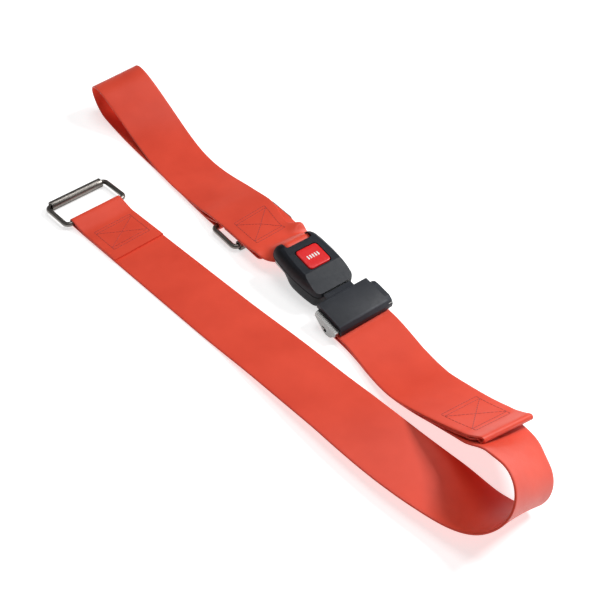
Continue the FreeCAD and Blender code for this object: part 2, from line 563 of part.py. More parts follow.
cover = prism_y([(37.6, PL_HI), (37.6, 17.4), (38.6, 18.4), (63.3, 18.4), (65.2, 17.6), (67.6, 14.5), (68.0, 10.7), (66.1, 10.7), (66.1, PL_HI)],
                -COVER_HW, COVER_HW)
ends = Part.Face(wire3([(30, -COVER_HW, 5), (30, -COVER_HW, 17.4), (30, 1.0 - COVER_HW, 18.4), (30, 1.0 - COVER_HW, 19),
                        (30, COVER_HW - 1.0, 19), (30, COVER_HW - 1.0, 18.4), (30, COVER_HW, 17.4), (30, COVER_HW, 5)])).extrude(V(45, 0, 0))
cover = cover.common(ends)
neck = box(31.9, 38.0, -13.6, 13.6, 14.0, 15.6).fuse(box(31.9, 37.0, -13.6, -12.1, 11.0, 14.1)).fuse(box(31.9, 37.0, 12.1, 13.6, 11.0, 14.1))
cover = cover.fuse(neck).removeSplitter()
cover = cover.cut(box(40, 61, -COVER_HW + 2, COVER_HW - 2, PL_HI - 1, 16.4))
parts["tongue_cover"] = place_buckle(single(cover))

lb = cyl(BAR_R, (BAR_U, -25.9, BAR_W), (BAR_U, 25.9, BAR_W))
lb = lb.fuse(cyl(BAR_END_R, (BAR_U, -29.2, BAR_W), (BAR_U, 29.2, BAR_W))).removeSplitter()
parts["lock_bar"] = place_buckle(single(lb))


# ------------------------------------------------------------ rings, rollers
def ring_shape():
    """ring frame in its own plane: fixed bar on x = 0, roller bar on x = -RING_W"""
    x0, x1, h, r, w = -RING_W, 0.0, RING_L / 2.0, CORNER_R, WIRE_R
    s = cyl(w, (x1, -h + r, 0), (x1, h - r, 0))
    s = s.fuse(cyl(w, (x0, -h + r, 0), (x0, h - r, 0)))
    s = s.fuse(cyl(w, (x0 + r, -h, 0), (x1 - r, -h, 0)))
    s = s.fuse(cyl(w, (x0 + r, h, 0), (x1 - r, h, 0)))
    for cx, cy, a in ((x1 - r, h - r, 0), (x0 + r, h - r, 90), (x0 + r, -h + r, 180), (x1 - r, -h + r, 270)):
        t = Part.makeTorus(r, w, V(0, 0, 0), V(0, 0, 1), -180, 180, 90)
        t.rotate(V(0, 0, 0), V(0, 0, 1), a)
        t.translate(V(cx, cy, 0))
        s = s.fuse(t)
    return single(s.removeSplitter())


def roller_shape():
    """rolled sheet tube around the ring's outer bar, with its seam"""
    t = cyl(ROLL_R, (-RING_W, -ROLL_LEN / 2, 0), (-RING_W, ROLL_LEN / 2, 0))
    t = t.cut(cyl(ROLL_IN, (-RING_W, -ROLL_LEN, 0), (-RING_W, ROLL_LEN, 0)))
    a = math.radians(160)
    seam = box(0, 8, -ROLL_LEN, ROLL_LEN, -0.3, 0.3)
    seam.rotate(V(0, 0, 0), V(0, 1, 0), 160)
    seam.translate(V(-RING_W, 0, 0))
    return single(t.cut(seam))


def to_ring_a(s):
    s = s.copy()
    s.translate(V(BAR_A_S, 0, RING_Z))
    return place_run(s)


def to_ring_b(s):
    s = s.copy()
    s.rotate(V(0, 0, 0), V(0, 0, 1), 180)
    s.translate(V(BAR_B_X, BAR_B_Y + 0.6, RING_Z))
    return s


parts["ring_a"] = to_ring_a(ring_shape())
parts["roller_a"] = to_ring_a(roller_shape())
parts["ring_b"] = to_ring_b(ring_shape())
parts["roller_b"] = to_ring_b(roller_shape())

# ---------------------------------------------------------------- long strap
EYE_A_END = BAR_A_S + 17.0
parts["long_strap_ring_eye"] = place_run(eye(BAR_A_S, RING_Z, LOOP_IN, EYE_A_END, 0.0, 2 * WEB_T))
parts["long_strap_ring_flap"] = ribbon(straight_frames(LRUN_X0, LRUN_Y0, LRUN_HEAD, EYE_A_END, FLAP_A_S, 1.5 * WEB_T), -HT, HT)
long_fr = frames(LONG_STATIONS)
first = long_fr[0]
run_len = (V(first[0].x, first[0].y, 0) - V(LRUN_X0, LRUN_Y0, 0)).Length
run_fr = straight_frames(LRUN_X0, LRUN_Y0, LRUN_HEAD, EYE_A_END, run_len, HT, 60.0)
h = math.radians(LRUN_HEAD)
Trun, Lrun = V(math.cos(h), math.sin(h), 0), V(-math.sin(h), math.cos(h), 0)
run_fr[-1] = (V(run_fr[-1][0].x, run_fr[-1][0].y, HT), Trun, Lrun, V(0, 0, 1))
long_fr[0] = run_fr[-1]
parts["long_strap_lower_run"] = ribbon(run_fr, -HT, HT)
S_long = arc_lengths(long_fr)


def cut_frames(fr, S, a, b):
    """frames from arc length a to b, both ends exact"""
    mid = [f for f, s in zip(fr, S) if a + 0.5 < s < b - 0.5]
    return [at(fr, S, a)] + mid + [at(fr, S, b)]


FOLD_A, FOLD_B = S_long[25], S_long[44]
parts["long_strap_rising_run"] = ribbon(cut_frames(long_fr, S_long, 0.0, FOLD_A), -HT, HT)
parts["long_strap_fold"] = ribbon(cut_frames(long_fr, S_long, FOLD_A, FOLD_B), -HT, HT)

tail_fr = frames(TAIL_STATIONS)
tail_fr[0] = (tail_fr[0][0], V(1, 0, 0), V(0, 1, 0), V(0, 0, 1))
long_fr[-1] = (long_fr[-1][0], V(-1, 0, 0), V(0, 1, 0), V(0, 0, -1))
parts["long_strap_return_run"] = ribbon(cut_frames(long_fr, S_long, FOLD_B, S_long[-1]), -HT, HT)
S_tail = arc_lengths(tail_fr)
parts["long_strap_tail"] = ribbon(cut_frames(tail_fr, S_tail, 0.0, S_tail[-1]), -HT, HT)
TAB_A = S_tail[20]
parts["tail_tab_flap"] = ribbon(cut_frames(tail_fr, S_tail, TAB_A, S_tail[-1]), -HT - WEB_T, -HT)
Ce, Te, Le, Ne = tail_fr[-1]
curl = []
c0 = Ce - Ne * (WEB_T / 2.0)
for i in range(9):
    a = math.pi / 2 - math.pi * i / 8
    d = Te * math.cos(a) + Ne * math.sin(a)
    curl.append((c0 + d * (WEB_T / 2.0 + 0.02), norm(Le.cross(d)) * -1, Le, d))
tip = ribbon(curl, -WEB_T / 2.0, WEB_T / 2.0)
parts["tail_tab_end"] = tip

# webbing round the lock bar: comes in low, turns round the bar, leaves on top
bx, bz = bk(BAR_U, BAR_W)
e0, t0 = long_fr[-1], tail_fr[0]
ra = BAR_R + 0.25 + HT
YC = e0[0].y
path = [(e0[0].x, e0[0].z)]
n_arc = 20
ex, ez = t0[0].x, t0[0].z
dx, dz = ex - bx, ez - bz
dist = math.hypot(dx, dz)
tan_ang = math.atan2(dz, dx) + math.acos(ra / dist)
for i in range(n_arc + 1):
    a = -math.pi / 2 - (2 * math.pi - math.pi / 2 - tan_ang) * i / n_arc
    path.append((bx + ra * math.cos(a), bz + ra * math.sin(a)))
path.append((ex, ez))
loop = []
Ly = V(0, 1, 0)
for i, (x, z) in enumerate(path):
    a, b = path[max(i - 1, 0)], path[min(i + 1, len(path) - 1)]
    T = norm(V(b[0] - a[0], 0, b[1] - a[1]))
    loop.append((V(x, YC, z), T, Ly, norm(T.cross(Ly))))
loop[0] = (V(ex, YC, e0[0].z), V(-1, 0, 0), Ly, V(0, 0, -1))
loop[-1] = (V(ex, YC, ez), t0[1], Ly, V(0, 0, 1))
parts["long_strap_adjuster_loop"] = ribbon(loop, -HT, HT)

# --------------------------------------------------------------- short strap
short_fr = frames(SHORT_STATIONS)
S_short = arc_lengths(short_fr)
ax_, az_ = bk(ANCHOR_U, ANCHOR_W)
f0 = short_fr[0]
zc = f0[0].z
x_end = f0[0].x
f0 = (V(x_end, 0.0, zc), V(-1, 0, 0), V(0, -1, 0), V(0, 0, 1))
short_fr[0] = f0
top_x, top_z = bk(EYE_TOP_U, EYE_TOP_W)
eye_out = hull2(circle_pts(ax_, az_, ANCHOR_R + 0.3 + WEB_T) + circle_pts(top_x, top_z, 3.6) + [(x_end, zc + HT - 2 * WEB_T), (x_end, zc + HT)])
eye_in = hull2(circle_pts(ax_, az_, ANCHOR_R + 0.3) + circle_pts(top_x, top_z, 2.1) + [(ax_ - 10.5, az_ - 1.6)])
eye_b = prism_y(eye_out, -HW, HW).cut(prism_y(eye_in, -HW - 1, HW + 1))
gather = prism_z([(x_end - 1, -HW), (x_end, -HW), (x_end + 7.0, -12.5), (0, -12.5), (0, 12.5), (x_end + 7.0, 12.5), (x_end, HW), (x_end - 1, HW)], 0, 60)
parts["short_strap_buckle_eye"] = single(eye_b.common(gather))
UP_END, LOOP_END = 232.0, 372.0
parts["short_strap_upper_run"] = ribbon(cut_frames(short_fr, S_short, 0.0, UP_END), -HT, HT)
parts["short_strap_far_loop"] = ribbon(cut_frames(short_fr, S_short, UP_END, LOOP_END), -HT, HT)
e_b = short_fr[-1]
parts["short_strap_lower_run"] = ribbon(cut_frames(short_fr, S_short, LOOP_END, S_short[-1] - 13.0), -HT, HT)
parts["short_strap_buckle_flap"] = ribbon(cut_frames(short_fr, S_short, 0.0, S_short[7]), -HT - WEB_T, -HT)
EYE_B_END = at(short_fr, S_short, S_short[-1] - 13.0)[0].x
eb = eye(BAR_B_X, RING_Z, LOOP_IN, EYE_B_END, 0.0, 2 * WEB_T, -1.0)
eb.translate(V(0, BAR_B_Y, 0))
parts["short_strap_ring_eye"] = eb
parts["short_strap_ring_flap"] = box(FLAP_B_X, EYE_B_END, BAR_B_Y - HW, BAR_B_Y + HW, WEB_T, 2 * WEB_T)

# ------------------------------------------------------------------ stitching
S_run = [0.0, 200.0]
flap_fr = straight_frames(LRUN_X0, LRUN_Y0, LRUN_HEAD, 0.0, 200.0, 1.5 * WEB_T, 400.0)
parts["ring_a_stitching"] = stitch_box(flap_fr, S_run, STITCH_A[0], STITCH_A[1], STITCH_A[2], HT, shift=0.8)
parts["tail_stitching"] = stitch_box(tail_fr, S_tail, 104.0, 133.0, 17.0, HT + 0.05, shift=2.5)
parts["buckle_end_stitching"] = stitch_box(short_fr, S_short, 15.0, 50.0, 16.5, HT + 0.08)
parts["ring_b_stitching"] = stitch_box([(V(FLAP_B_X, BAR_B_Y, 1.5 * WEB_T), V(1, 0, 0), V(0, 1, 0), V(0, 0, 1)),
                                        (V(FLAP_B_X + 60, BAR_B_Y, 1.5 * WEB_T), V(1, 0, 0), V(0, 1, 0), V(0, 0, 1))],
                                       [0.0, 60.0], 2.0, 24.0, 18.0, HT, 0.35)

# ------------------------------------------------------------------- export
os.makedirs("parts", exist_ok=True)
lo = [1e9] * 3
hi = [-1e9] * 3
for name, shape in parts.items():
    shape = shape.copy()
    shape.translate(V(SHIFT_X, SHIFT_Y, 0))
    b = shape.BoundBox
    lo = [min(lo[0], b.XMin), min(lo[1], b.YMin), min(lo[2], b.ZMin)]
    hi = [max(hi[0], b.XMax), max(hi[1], b.YMax), max(hi[2], b.ZMax)]
    print("%-28s solids %d valid %s vol %.1f  x %.1f..%.1f y %.1f..%.1f z %.2f..%.2f" % (
        name, len(shape.Solids), shape.isValid(), shape.Volume, b.XMin, b.XMax, b.YMin, b.YMax, b.ZMin, b.ZMax))
    shape.exportStep("parts/%s.step" % name)
print("nodes", len(parts), "box", [round(v, 3) for v in lo], [round(v, 3) for v in hi])
print("centre", [round((a + b) / 2, 3) for a, b in zip(lo, hi)])
print("buckle axes: slide +u", (math.cos(P_RAD), 0, -math.sin(P_RAD)), "button down", (-math.sin(P_RAD), 0, -math.cos(P_RAD)))
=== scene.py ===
import json
import math
import bpy
import bmesh
import numpy as np
from mathutils import Vector, Matrix


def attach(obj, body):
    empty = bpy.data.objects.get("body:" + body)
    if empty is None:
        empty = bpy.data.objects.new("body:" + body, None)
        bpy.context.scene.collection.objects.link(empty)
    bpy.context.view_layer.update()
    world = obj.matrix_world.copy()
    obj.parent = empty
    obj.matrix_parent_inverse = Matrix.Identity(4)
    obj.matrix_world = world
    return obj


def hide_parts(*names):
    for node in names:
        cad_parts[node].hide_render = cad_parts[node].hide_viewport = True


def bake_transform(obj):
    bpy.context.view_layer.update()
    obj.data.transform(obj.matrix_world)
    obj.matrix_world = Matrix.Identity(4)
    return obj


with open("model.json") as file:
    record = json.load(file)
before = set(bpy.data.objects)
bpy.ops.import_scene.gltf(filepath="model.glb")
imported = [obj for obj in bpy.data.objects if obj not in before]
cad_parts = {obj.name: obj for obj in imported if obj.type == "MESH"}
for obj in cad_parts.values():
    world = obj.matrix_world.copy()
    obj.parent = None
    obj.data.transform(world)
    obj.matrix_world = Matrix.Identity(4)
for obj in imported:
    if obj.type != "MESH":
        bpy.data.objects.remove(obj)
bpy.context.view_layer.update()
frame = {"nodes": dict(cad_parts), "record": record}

MM = 0.001
SHIFT = np.array([46.104, 50.601, 0.0])

# ------------------------------------------------------------------ camera
cam_data = bpy.data.cameras.new("camera")
cam_data.lens = 47.2
cam_data.sensor_width = 36.0
cam_data.sensor_fit = "HORIZONTAL"
cam_data.clip_start = 0.01
cam_data.clip_end = 20.0
camera = bpy.data.objects.new("camera", cam_data)
bpy.context.scene.collection.objects.link(camera)
cp = Vector((0.41205, -0.24331, 0.44533))
ct = Vector((0.05627, 0.02969, 0.0))
fwd = (ct - cp).normalized()
right = fwd.cross(Vector((0, 0, 1))).normalized()
up = right.cross(fwd)
rot = Matrix((right, up, -fwd)).transposed().to_4x4()
camera.matrix_world = Matrix.Translation(cp) @ rot
bpy.context.scene.camera = camera

# -------------------------------------------------------- buckle dimensions
PITCH = math.radians(8.5)
CU, SU = math.cos(PITCH), math.sin(PITCH)
BK_H, BTN_Z = 23.0, 29.0
TX, TZ = -BK_H * SU, BTN_Z - BK_H * CU


def bk(u, v, w):
    """buckle frame (mm) to the frame's millimetres"""
    return np.array([u * CU + w * SU + TX + SHIFT[0], v + SHIFT[1], -u * SU + w * CU + TZ])


# centreline stations of the laid-out webbing, mm: centre, unit vector across
LONG_STATIONS = [
    (-16.74, -80.80, 0.75, -0.1076, 0.9942, 0.0000),
    (-7.72, -79.79, 0.80, -0.1070, 0.9943, 0.0002),
    (1.31, -78.77, 0.94, -0.1055, 0.9944, 0.0001),
    (10.33, -77.78, 1.20, -0.1030, 0.9947, -0.0007),
    (19.35, -76.82, 1.61, -0.0994, 0.9950, -0.0020),
    (28.37, -75.92, 2.17, -0.0951, 0.9955, -0.0039),
    (37.40, -75.09, 2.83, -0.0902, 0.9959, -0.0065),
    (46.43, -74.32, 3.53, -0.0856, 0.9963, -0.0095),
    (55.47, -73.59, 4.15, -0.0819, 0.9966, -0.0124),
    (64.51, -72.85, 4.62, -0.0797, 0.9967, -0.0154),
    (73.55, -72.13, 5.08, -0.0781, 0.9968, -0.0195),
    (82.59, -71.41, 5.56, -0.0772, 0.9967, -0.0238),
    (91.63, -70.70, 6.07, -0.0772, 0.9966, -0.0281),
    (100.66, -69.98, 6.62, -0.0784, 0.9965, -0.0306),
    (109.69, -69.24, 7.20, -0.0807, 0.9963, -0.0292),
    (118.72, -68.48, 7.77, -0.0842, 0.9961, -0.0243),
    (127.75, -67.88, 8.30, -0.0887, 0.9959, -0.0163),
    (136.79, -67.25, 8.73, -0.0940, 0.9955, -0.0070),
    (145.82, -66.47, 9.04, -0.1008, 0.9949, -0.0019),
    (154.85, -65.61, 9.22, -0.1095, 0.9940, -0.0012),
    (163.87, -64.57, 9.30, -0.1214, 0.9926, -0.0060),
    (172.87, -63.40, 9.31, -0.1364, 0.9905, -0.0162),
    (181.86, -61.98, 9.27, -0.1537, 0.9877, -0.0300),
    (190.82, -60.40, 9.14, -0.1731, 0.9838, -0.0476),
    (199.74, -58.55, 8.90, -0.1930, 0.9786, -0.0716),
    (208.63, -56.53, 8.53, -0.2132, 0.9715, -0.1035),
    (217.48, -54.53, 8.17, -0.2336, 0.9597, -0.1563),
    (226.28, -52.29, 8.16, -0.2502, 0.9396, -0.2336),
    (234.91, -49.64, 9.18, -0.2563, 0.9075, -0.3327),
    (242.94, -46.23, 12.06, -0.2309, 0.8628, -0.4497),
    (249.33, -41.76, 16.07, -0.1603, 0.7997, -0.5785),
    (252.58, -36.21, 22.38, -0.0611, 0.7591, -0.6481),
    (251.45, -30.28, 29.07, 0.0484, 0.7449, -0.6654),
    (246.30, -25.02, 34.08, 0.1389, 0.7563, -0.6393),
    (238.53, -21.21, 36.44, 0.2026, 0.7869, -0.5829),
    (229.79, -18.85, 36.21, 0.2398, 0.8312, -0.5017),
    (221.09, -15.00, 33.02, 0.2479, 0.8778, -0.4100),
    (212.80, -12.71, 29.02, 0.2325, 0.9219, -0.3100),
    (204.88, -11.12, 24.92, 0.2023, 0.9495, -0.2400),
    (197.15, -9.95, 21.99, 0.1743, 0.9620, -0.2100),
    (189.39, -9.08, 19.12, 0.1541, 0.9696, -0.1900),
    (181.44, -8.51, 16.31, 0.1411, 0.9753, -0.1700),
    (173.22, -8.21, 13.75, 0.1342, 0.9795, -0.1500),
    (164.73, -8.02, 10.99, 0.1302, 0.9833, -0.1270),
    (156.02, -7.66, 8.25, 0.1280, 0.9867, -0.1000),
    (147.17, -7.26, 5.70, 0.1258, 0.9888, -0.0800),
    (138.22, -6.85, 3.60, 0.1234, 0.9908, -0.0550),
    (129.22, -6.18, 2.05, 0.1203, 0.9923, -0.0300),
    (120.21, -5.54, 1.16, 0.1161, 0.9932, -0.0100),
    (111.19, -4.62, 0.93, 0.1108, 0.9938, -0.0010),
    (102.16, -3.63, 0.92, 0.1018, 0.9948, 0.0000),
    (93.13, -2.38, 1.02, 0.0736, 0.9973, 0.0000),
    (84.09, -1.37, 1.08, 0.0382, 0.9993, 0.0000),
    (75.04, -0.72, 1.10, 0.0106, 0.9999, 0.0000),
    (65.98, -0.50, 1.10, 0.0000, 1.0000, 0.0000),
]
TAIL_STATIONS = [
    (65.89, -0.50, 4.48, 0.0000, 1.0000, 0.0000),
    (70.86, -0.60, 4.27, 0.0038, 1.0000, -0.0004),
    (75.84, -0.92, 4.09, 0.0153, 0.9999, -0.0022),
    (80.81, -1.44, 3.94, 0.0329, 0.9994, -0.0052),
    (85.78, -2.11, 3.84, 0.0539, 0.9985, -0.0086),
    (90.75, -2.89, 3.79, 0.0748, 0.9971, -0.0116),
    (95.72, -3.76, 3.79, 0.0915, 0.9957, -0.0150),
    (100.69, -4.67, 3.86, 0.1006, 0.9947, -0.0189),
    (105.66, -5.58, 4.00, 0.0995, 0.9948, -0.0228),
    (110.64, -6.46, 4.22, 0.0918, 0.9954, -0.0272),
    (115.61, -7.29, 4.53, 0.0835, 0.9960, -0.0333),
    (120.58, -8.01, 4.92, 0.0745, 0.9964, -0.0409),
    (125.54, -8.62, 5.42, 0.0649, 0.9966, -0.0503),
    (130.50, -9.07, 6.08, 0.0549, 0.9966, -0.0613),
    (135.45, -9.34, 6.98, 0.0459, 0.9962, -0.0738),
    (140.38, -9.48, 8.16, 0.0379, 0.9954, -0.0877),
    (145.30, -9.56, 9.54, 0.0311, 0.9942, -0.1029),
    (150.20, -9.59, 11.06, 0.0255, 0.9925, -0.1194),
    (155.07, -9.56, 12.65, 0.0210, 0.9905, -0.1359),
    (159.93, -9.49, 14.23, 0.0177, 0.9882, -0.1523),
    (164.77, -9.36, 15.76, 0.0155, 0.9856, -0.1686),
    (169.57, -9.19, 17.30, 0.0145, 0.9827, -0.1847),
    (174.36, -8.98, 18.85, 0.0140, 0.9798, -0.1993),
    (179.12, -8.73, 20.41, 0.0136, 0.9772, -0.2119),
    (183.85, -8.44, 22.07, 0.0135, 0.9748, -0.2225),
    (188.54, -8.11, 23.82, 0.0134, 0.9728, -0.2312),
    (193.21, -7.75, 25.63, 0.0140, 0.9707, -0.2397),
    (197.85, -7.36, 27.50, 0.0158, 0.9684, -0.2490),
    (202.45, -6.94, 29.43, 0.0187, 0.9657, -0.2591),
    (207.01, -6.49, 31.42, 0.0229, 0.9627, -0.2698),
]
SHORT_STATIONS = [
    (-39.42, 0.31, 12.57, 0.0033, -0.9994, -0.0350),
    (-46.91, 0.18, 12.92, 0.0018, -0.9978, -0.0666),
    (-54.14, -0.12, 13.75, 0.0002, -0.9971, -0.0757),
    (-61.57, -0.28, 14.26, -0.0011, -0.9959, -0.0906),
    (-69.20, -0.29, 14.39, -0.0010, -0.9940, -0.1098),
    (-76.83, -0.28, 14.34, 0.0007, -0.9927, -0.1205),
    (-84.46, -0.25, 14.09, 0.0037, -0.9925, -0.1225),
    (-92.08, -0.21, 13.61, 0.0073, -0.9930, -0.1182),
    (-99.68, -0.17, 12.93, 0.0113, -0.9939, -0.1093),
    (-107.27, -0.15, 12.07, 0.0152, -0.9953, -0.0959),
    (-114.90, -0.10, 11.00, 0.0184, -0.9962, -0.0846),
    (-122.77, 0.08, 9.52, 0.0203, -0.9959, -0.0885),
    (-130.64, 0.25, 8.00, 0.0212, -0.9954, -0.0930),
    (-138.27, 0.23, 6.85, 0.0203, -0.9963, -0.0836),
    (-145.84, 0.16, 5.87, 0.0172, -0.9973, -0.0709),
    (-153.42, 0.10, 5.01, 0.0118, -0.9982, -0.0588),
    (-161.02, 0.08, 4.29, 0.0045, -0.9989, -0.0476),
    (-168.64, 0.10, 3.72, -0.0046, -0.9993, -0.0377),
    (-176.26, 0.19, 3.30, -0.0155, -0.9995, -0.0290),
    (-183.88, 0.36, 3.03, -0.0277, -0.9994, -0.0228),
    (-191.51, 0.63, 2.91, -0.0408, -0.9990, -0.0205),
    (-199.14, 0.99, 2.94, -0.0550, -0.9982, -0.0222),
    (-206.76, 1.46, 3.13, -0.0689, -0.9972, -0.0277),
    (-214.36, 2.02, 3.48, -0.0813, -0.9960, -0.0369),
    (-221.95, 2.66, 4.03, -0.0924, -0.9945, -0.0498),
    (-229.51, 3.35, 4.80, -0.1009, -0.9927, -0.0660),
    (-237.04, 4.06, 5.80, -0.1058, -0.9907, -0.0852),
    (-244.54, 4.75, 7.08, -0.1073, -0.9884, -0.1076),
    (-251.98, 5.36, 8.65, -0.1061, -0.9856, -0.1320),
    (-259.35, 5.86, 10.60, -0.1030, -0.9822, -0.1571),
    (-266.60, 6.19, 12.96, -0.0982, -0.9781, -0.1834),
    (-273.68, 6.31, 15.80, -0.0928, -0.9737, -0.2081),
    (-280.58, 6.21, 19.07, -0.0871, -0.9696, -0.2286),
    (-287.26, 5.89, 22.74, -0.0804, -0.9661, -0.2452),
    (-293.76, 5.38, 26.71, -0.0724, -0.9640, -0.2558),
    (-300.22, 4.75, 30.73, -0.0623, -0.9640, -0.2584),
    (-306.83, 4.14, 34.50, -0.0504, -0.9663, -0.2524),
    (-313.77, 3.65, 37.64, -0.0372, -0.9705, -0.2381),
    (-321.14, 3.43, 39.58, -0.0252, -0.9762, -0.2154),
    (-328.75, 3.59, 39.61, -0.0196, -0.9828, -0.1837),
    (-335.93, 4.14, 37.18, -0.0240, -0.9884, -0.1501),
    (-341.64, 4.98, 32.25, -0.0359, -0.9919, -0.1215),
    (-344.77, 5.87, 25.39, -0.0539, -0.9936, -0.0994),
    (-344.56, 6.56, 17.84, -0.0707, -0.9938, -0.0861),
    (-341.31, 6.87, 10.99, -0.0782, -0.9940, -0.0762),
    (-335.81, 6.80, 5.73, -0.0781, -0.9951, -0.0607),
    (-328.99, 6.45, 2.38, -0.0769, -0.9962, -0.0411),
    (-321.57, 5.94, 1.02, -0.0761, -0.9970, -0.0108),
    (-313.98, 5.38, 0.75, -0.0735, -0.9973, 0.0000),
    (-306.37, 4.83, 0.75, -0.0691, -0.9976, 0.0000),
    (-298.76, 4.33, 0.76, -0.0630, -0.9980, 0.0002),
    (-291.15, 3.88, 0.80, -0.0549, -0.9985, 0.0019),
    (-283.52, 3.50, 0.76, -0.0461, -0.9989, 0.0003),
    (-275.90, 3.18, 0.75, -0.0379, -0.9993, 0.0000),
    (-268.27, 2.92, 0.75, -0.0304, -0.9995, 0.0000),
    (-260.64, 2.72, 0.75, -0.0239, -0.9997, 0.0000),
    (-253.01, 2.55, 0.75, -0.0189, -0.9998, 0.0000),
    (-245.38, 2.42, 0.75, -0.0155, -0.9999, 0.0000),
    (-237.75, 2.31, 0.75, -0.0132, -0.9999, 0.0000),
    (-230.11, 2.22, 0.75, -0.0120, -0.9999, 0.0000),
    (-222.48, 2.13, 0.75, -0.0118, -0.9999, 0.0000),
    (-214.85, 2.04, 0.75, -0.0121, -0.9999, 0.0000),
    (-207.22, 1.94, 0.75, -0.0126, -0.9999, 0.0000),
    (-199.58, 1.84, 0.75, -0.0133, -0.9999, 0.0000),
    (-191.95, 1.74, 0.75, -0.0139, -0.9999, 0.0000),
    (-184.32, 1.63, 0.75, -0.0144, -0.9999, 0.0000),
    (-176.68, 1.52, 0.75, -0.0148, -0.9999, 0.0000),
    (-169.05, 1.41, 0.75, -0.0151, -0.9999, 0.0000),
    (-161.42, 1.25, 0.75, -0.0144, -0.9999, 0.0000),
    (-153.78, 1.02, 0.75, -0.0117, -0.9999, 0.0000),
    (-146.15, 0.81, 0.75, -0.0081, -1.0000, 0.0000),
    (-138.52, 0.64, 0.75, -0.0044, -1.0000, 0.0000),
    (-130.89, 0.54, 0.75, -0.0014, -1.0000, 0.0000),
    (-123.25, 0.51, 0.75, -0.0000, -1.0000, 0.0000),
    (-115.62, 0.51, 0.75, 0.0000, -1.0000, 0.0000),
    (-107.99, 0.51, 0.75, 0.0000, -1.0000, 0.0000),
]


# ------------------------------------------------------------ node materials
def nt_new(name):
    m = bpy.data.materials.new(name)
    m.use_nodes = True
    t = m.node_tree
    t.nodes.clear()
    out = t.nodes.new("ShaderNodeOutputMaterial")
    b = t.nodes.new("ShaderNodeBsdfPrincipled")
    t.links.new(b.outputs["BSDF"], out.inputs["Surface"])
    return m, t, b


def node(t, kind, **kw):
    n = t.nodes.new(kind)
    for k, v in kw.items():
        if k in n.inputs:
            n.inputs[k].default_value = v
        else:
            setattr(n, k, v)
    return n


def math_node(t, op, a, b=None, c=None):
    n = t.nodes.new("ShaderNodeMath")
    n.operation = op
    for i, v in enumerate((a, b, c)):
        if v is None:
            continue
        if isinstance(v, (int, float)):
            n.inputs[i].default_value = v
        else:
            t.links.new(v, n.inputs[i])
    return n.outputs[0]


def ramp(t, fac, stops):
    r = t.nodes.new("ShaderNodeValToRGB")
    while len(r.color_ramp.elements) < len(stops):
        r.color_ramp.elements.new(0.5)
    for e, (p, c) in zip(r.color_ramp.elements, stops):
        e.position = p
        e.color = c if len(c) == 4 else (*c, 1)
    t.links.new(fac, r.inputs[0])
    return r.outputs[0]


def noise(t, vec, scale, detail=3.0, rough=0.5):
    n = node(t, "ShaderNodeTexNoise", Scale=scale, Detail=detail, Roughness=rough)
    t.links.new(vec, n.inputs["Vector"])
    return n.outputs["Fac"]


def bump(t, height, strength, dist, normal=None):
    n = node(t, "ShaderNodeBump", Strength=strength, Distance=dist)
    t.links.new(height, n.inputs["Height"])
    if normal is not None:
        t.links.new(normal, n.inputs["Normal"])
    return n.outputs["Normal"]


def mix_col(t, fac, a, b):
    n = t.nodes.new("ShaderNodeMix")
    n.data_type = "RGBA"
    for sock, v in ((n.inputs[0], fac), (n.inputs[6], a), (n.inputs[7], b)):
        if isinstance(v, (tuple, list)):
            sock.default_value = v if len(v) == 4 else (*v, 1)
        elif isinstance(v, (int, float)):
            sock.default_value = v
        else:
            t.links.new(v, sock)
    return n.outputs[2]


def webbing_material():
    """coated webbing: close flat weave under a thin satin skin"""
    m, t, b = nt_new("coated_webbing")
    uv = node(t, "ShaderNodeUVMap", uv_map="web")
    obj = node(t, "ShaderNodeTexCoord").outputs["Object"]
    sep = t.nodes.new("ShaderNodeSeparateXYZ")
    t.links.new(uv.outputs["UV"], sep.inputs[0])
    l, s = sep.outputs[0], sep.outputs[1]           # metres across and along
    # weave: warp ribs along, weft ribs across, half a cell out of step
    wl = math_node(t, "SINE", math_node(t, "MULTIPLY", l, 2 * math.pi / 0.0011))
    ws = math_node(t, "SINE", math_node(t, "MULTIPLY", s, 2 * math.pi / 0.0013))
    weave = math_node(t, "MULTIPLY", wl, ws)
    fine = noise(t, obj, 900.0, 2.0)
    broad = noise(t, obj, 26.0, 3.0)
    mid = noise(t, obj, 140.0, 3.0)
    col = ramp(t, broad, [(0.3, WEB_DARK), (0.72, WEB_LIGHT)])
    col2 = mix_col(t, math_node(t, "MULTIPLY", math_node(t, "ADD", weave, 1.0), 0.045), col, (0.50, 0.040, 0.022))
    # slightly darker, denser selvedge
    edge = math_node(t, "SMOOTH_MIN", math_node(t, "DIVIDE", math_node(t, "SUBTRACT", 0.0254, math_node(t, "ABSOLUTE", l)), 0.0016), 1.0, 0.1)
    edge = math_node(t, "MAXIMUM", edge, 0.0)
    col3 = mix_col(t, math_node(t, "MULTIPLY", math_node(t, "SUBTRACT", 1.0, edge), 0.28), col2, (0.42, 0.030, 0.018))
    t.links.new(col3, b.inputs["Base Color"])
    rough = math_node(t, "ADD", math_node(t, "MULTIPLY", mid, 0.16), 0.36)
    t.links.new(rough, b.inputs["Roughness"])
    b.inputs["Specular IOR Level"].default_value = 0.34
    b.inputs["Coat Weight"].default_value = 0.03
    b.inputs["Coat Roughness"].default_value = 0.35
    b.inputs["Sheen Weight"].default_value = 0.08
    n1 = bump(t, weave, 0.16, 0.00012)
    n2 = bump(t, fine, 0.10, 0.0001, n1)
    n3 = bump(t, noise(t, obj, 60.0, 2.0), 0.10, 0.0012, n2)
    t.links.new(n3, b.inputs["Normal"])
    return m


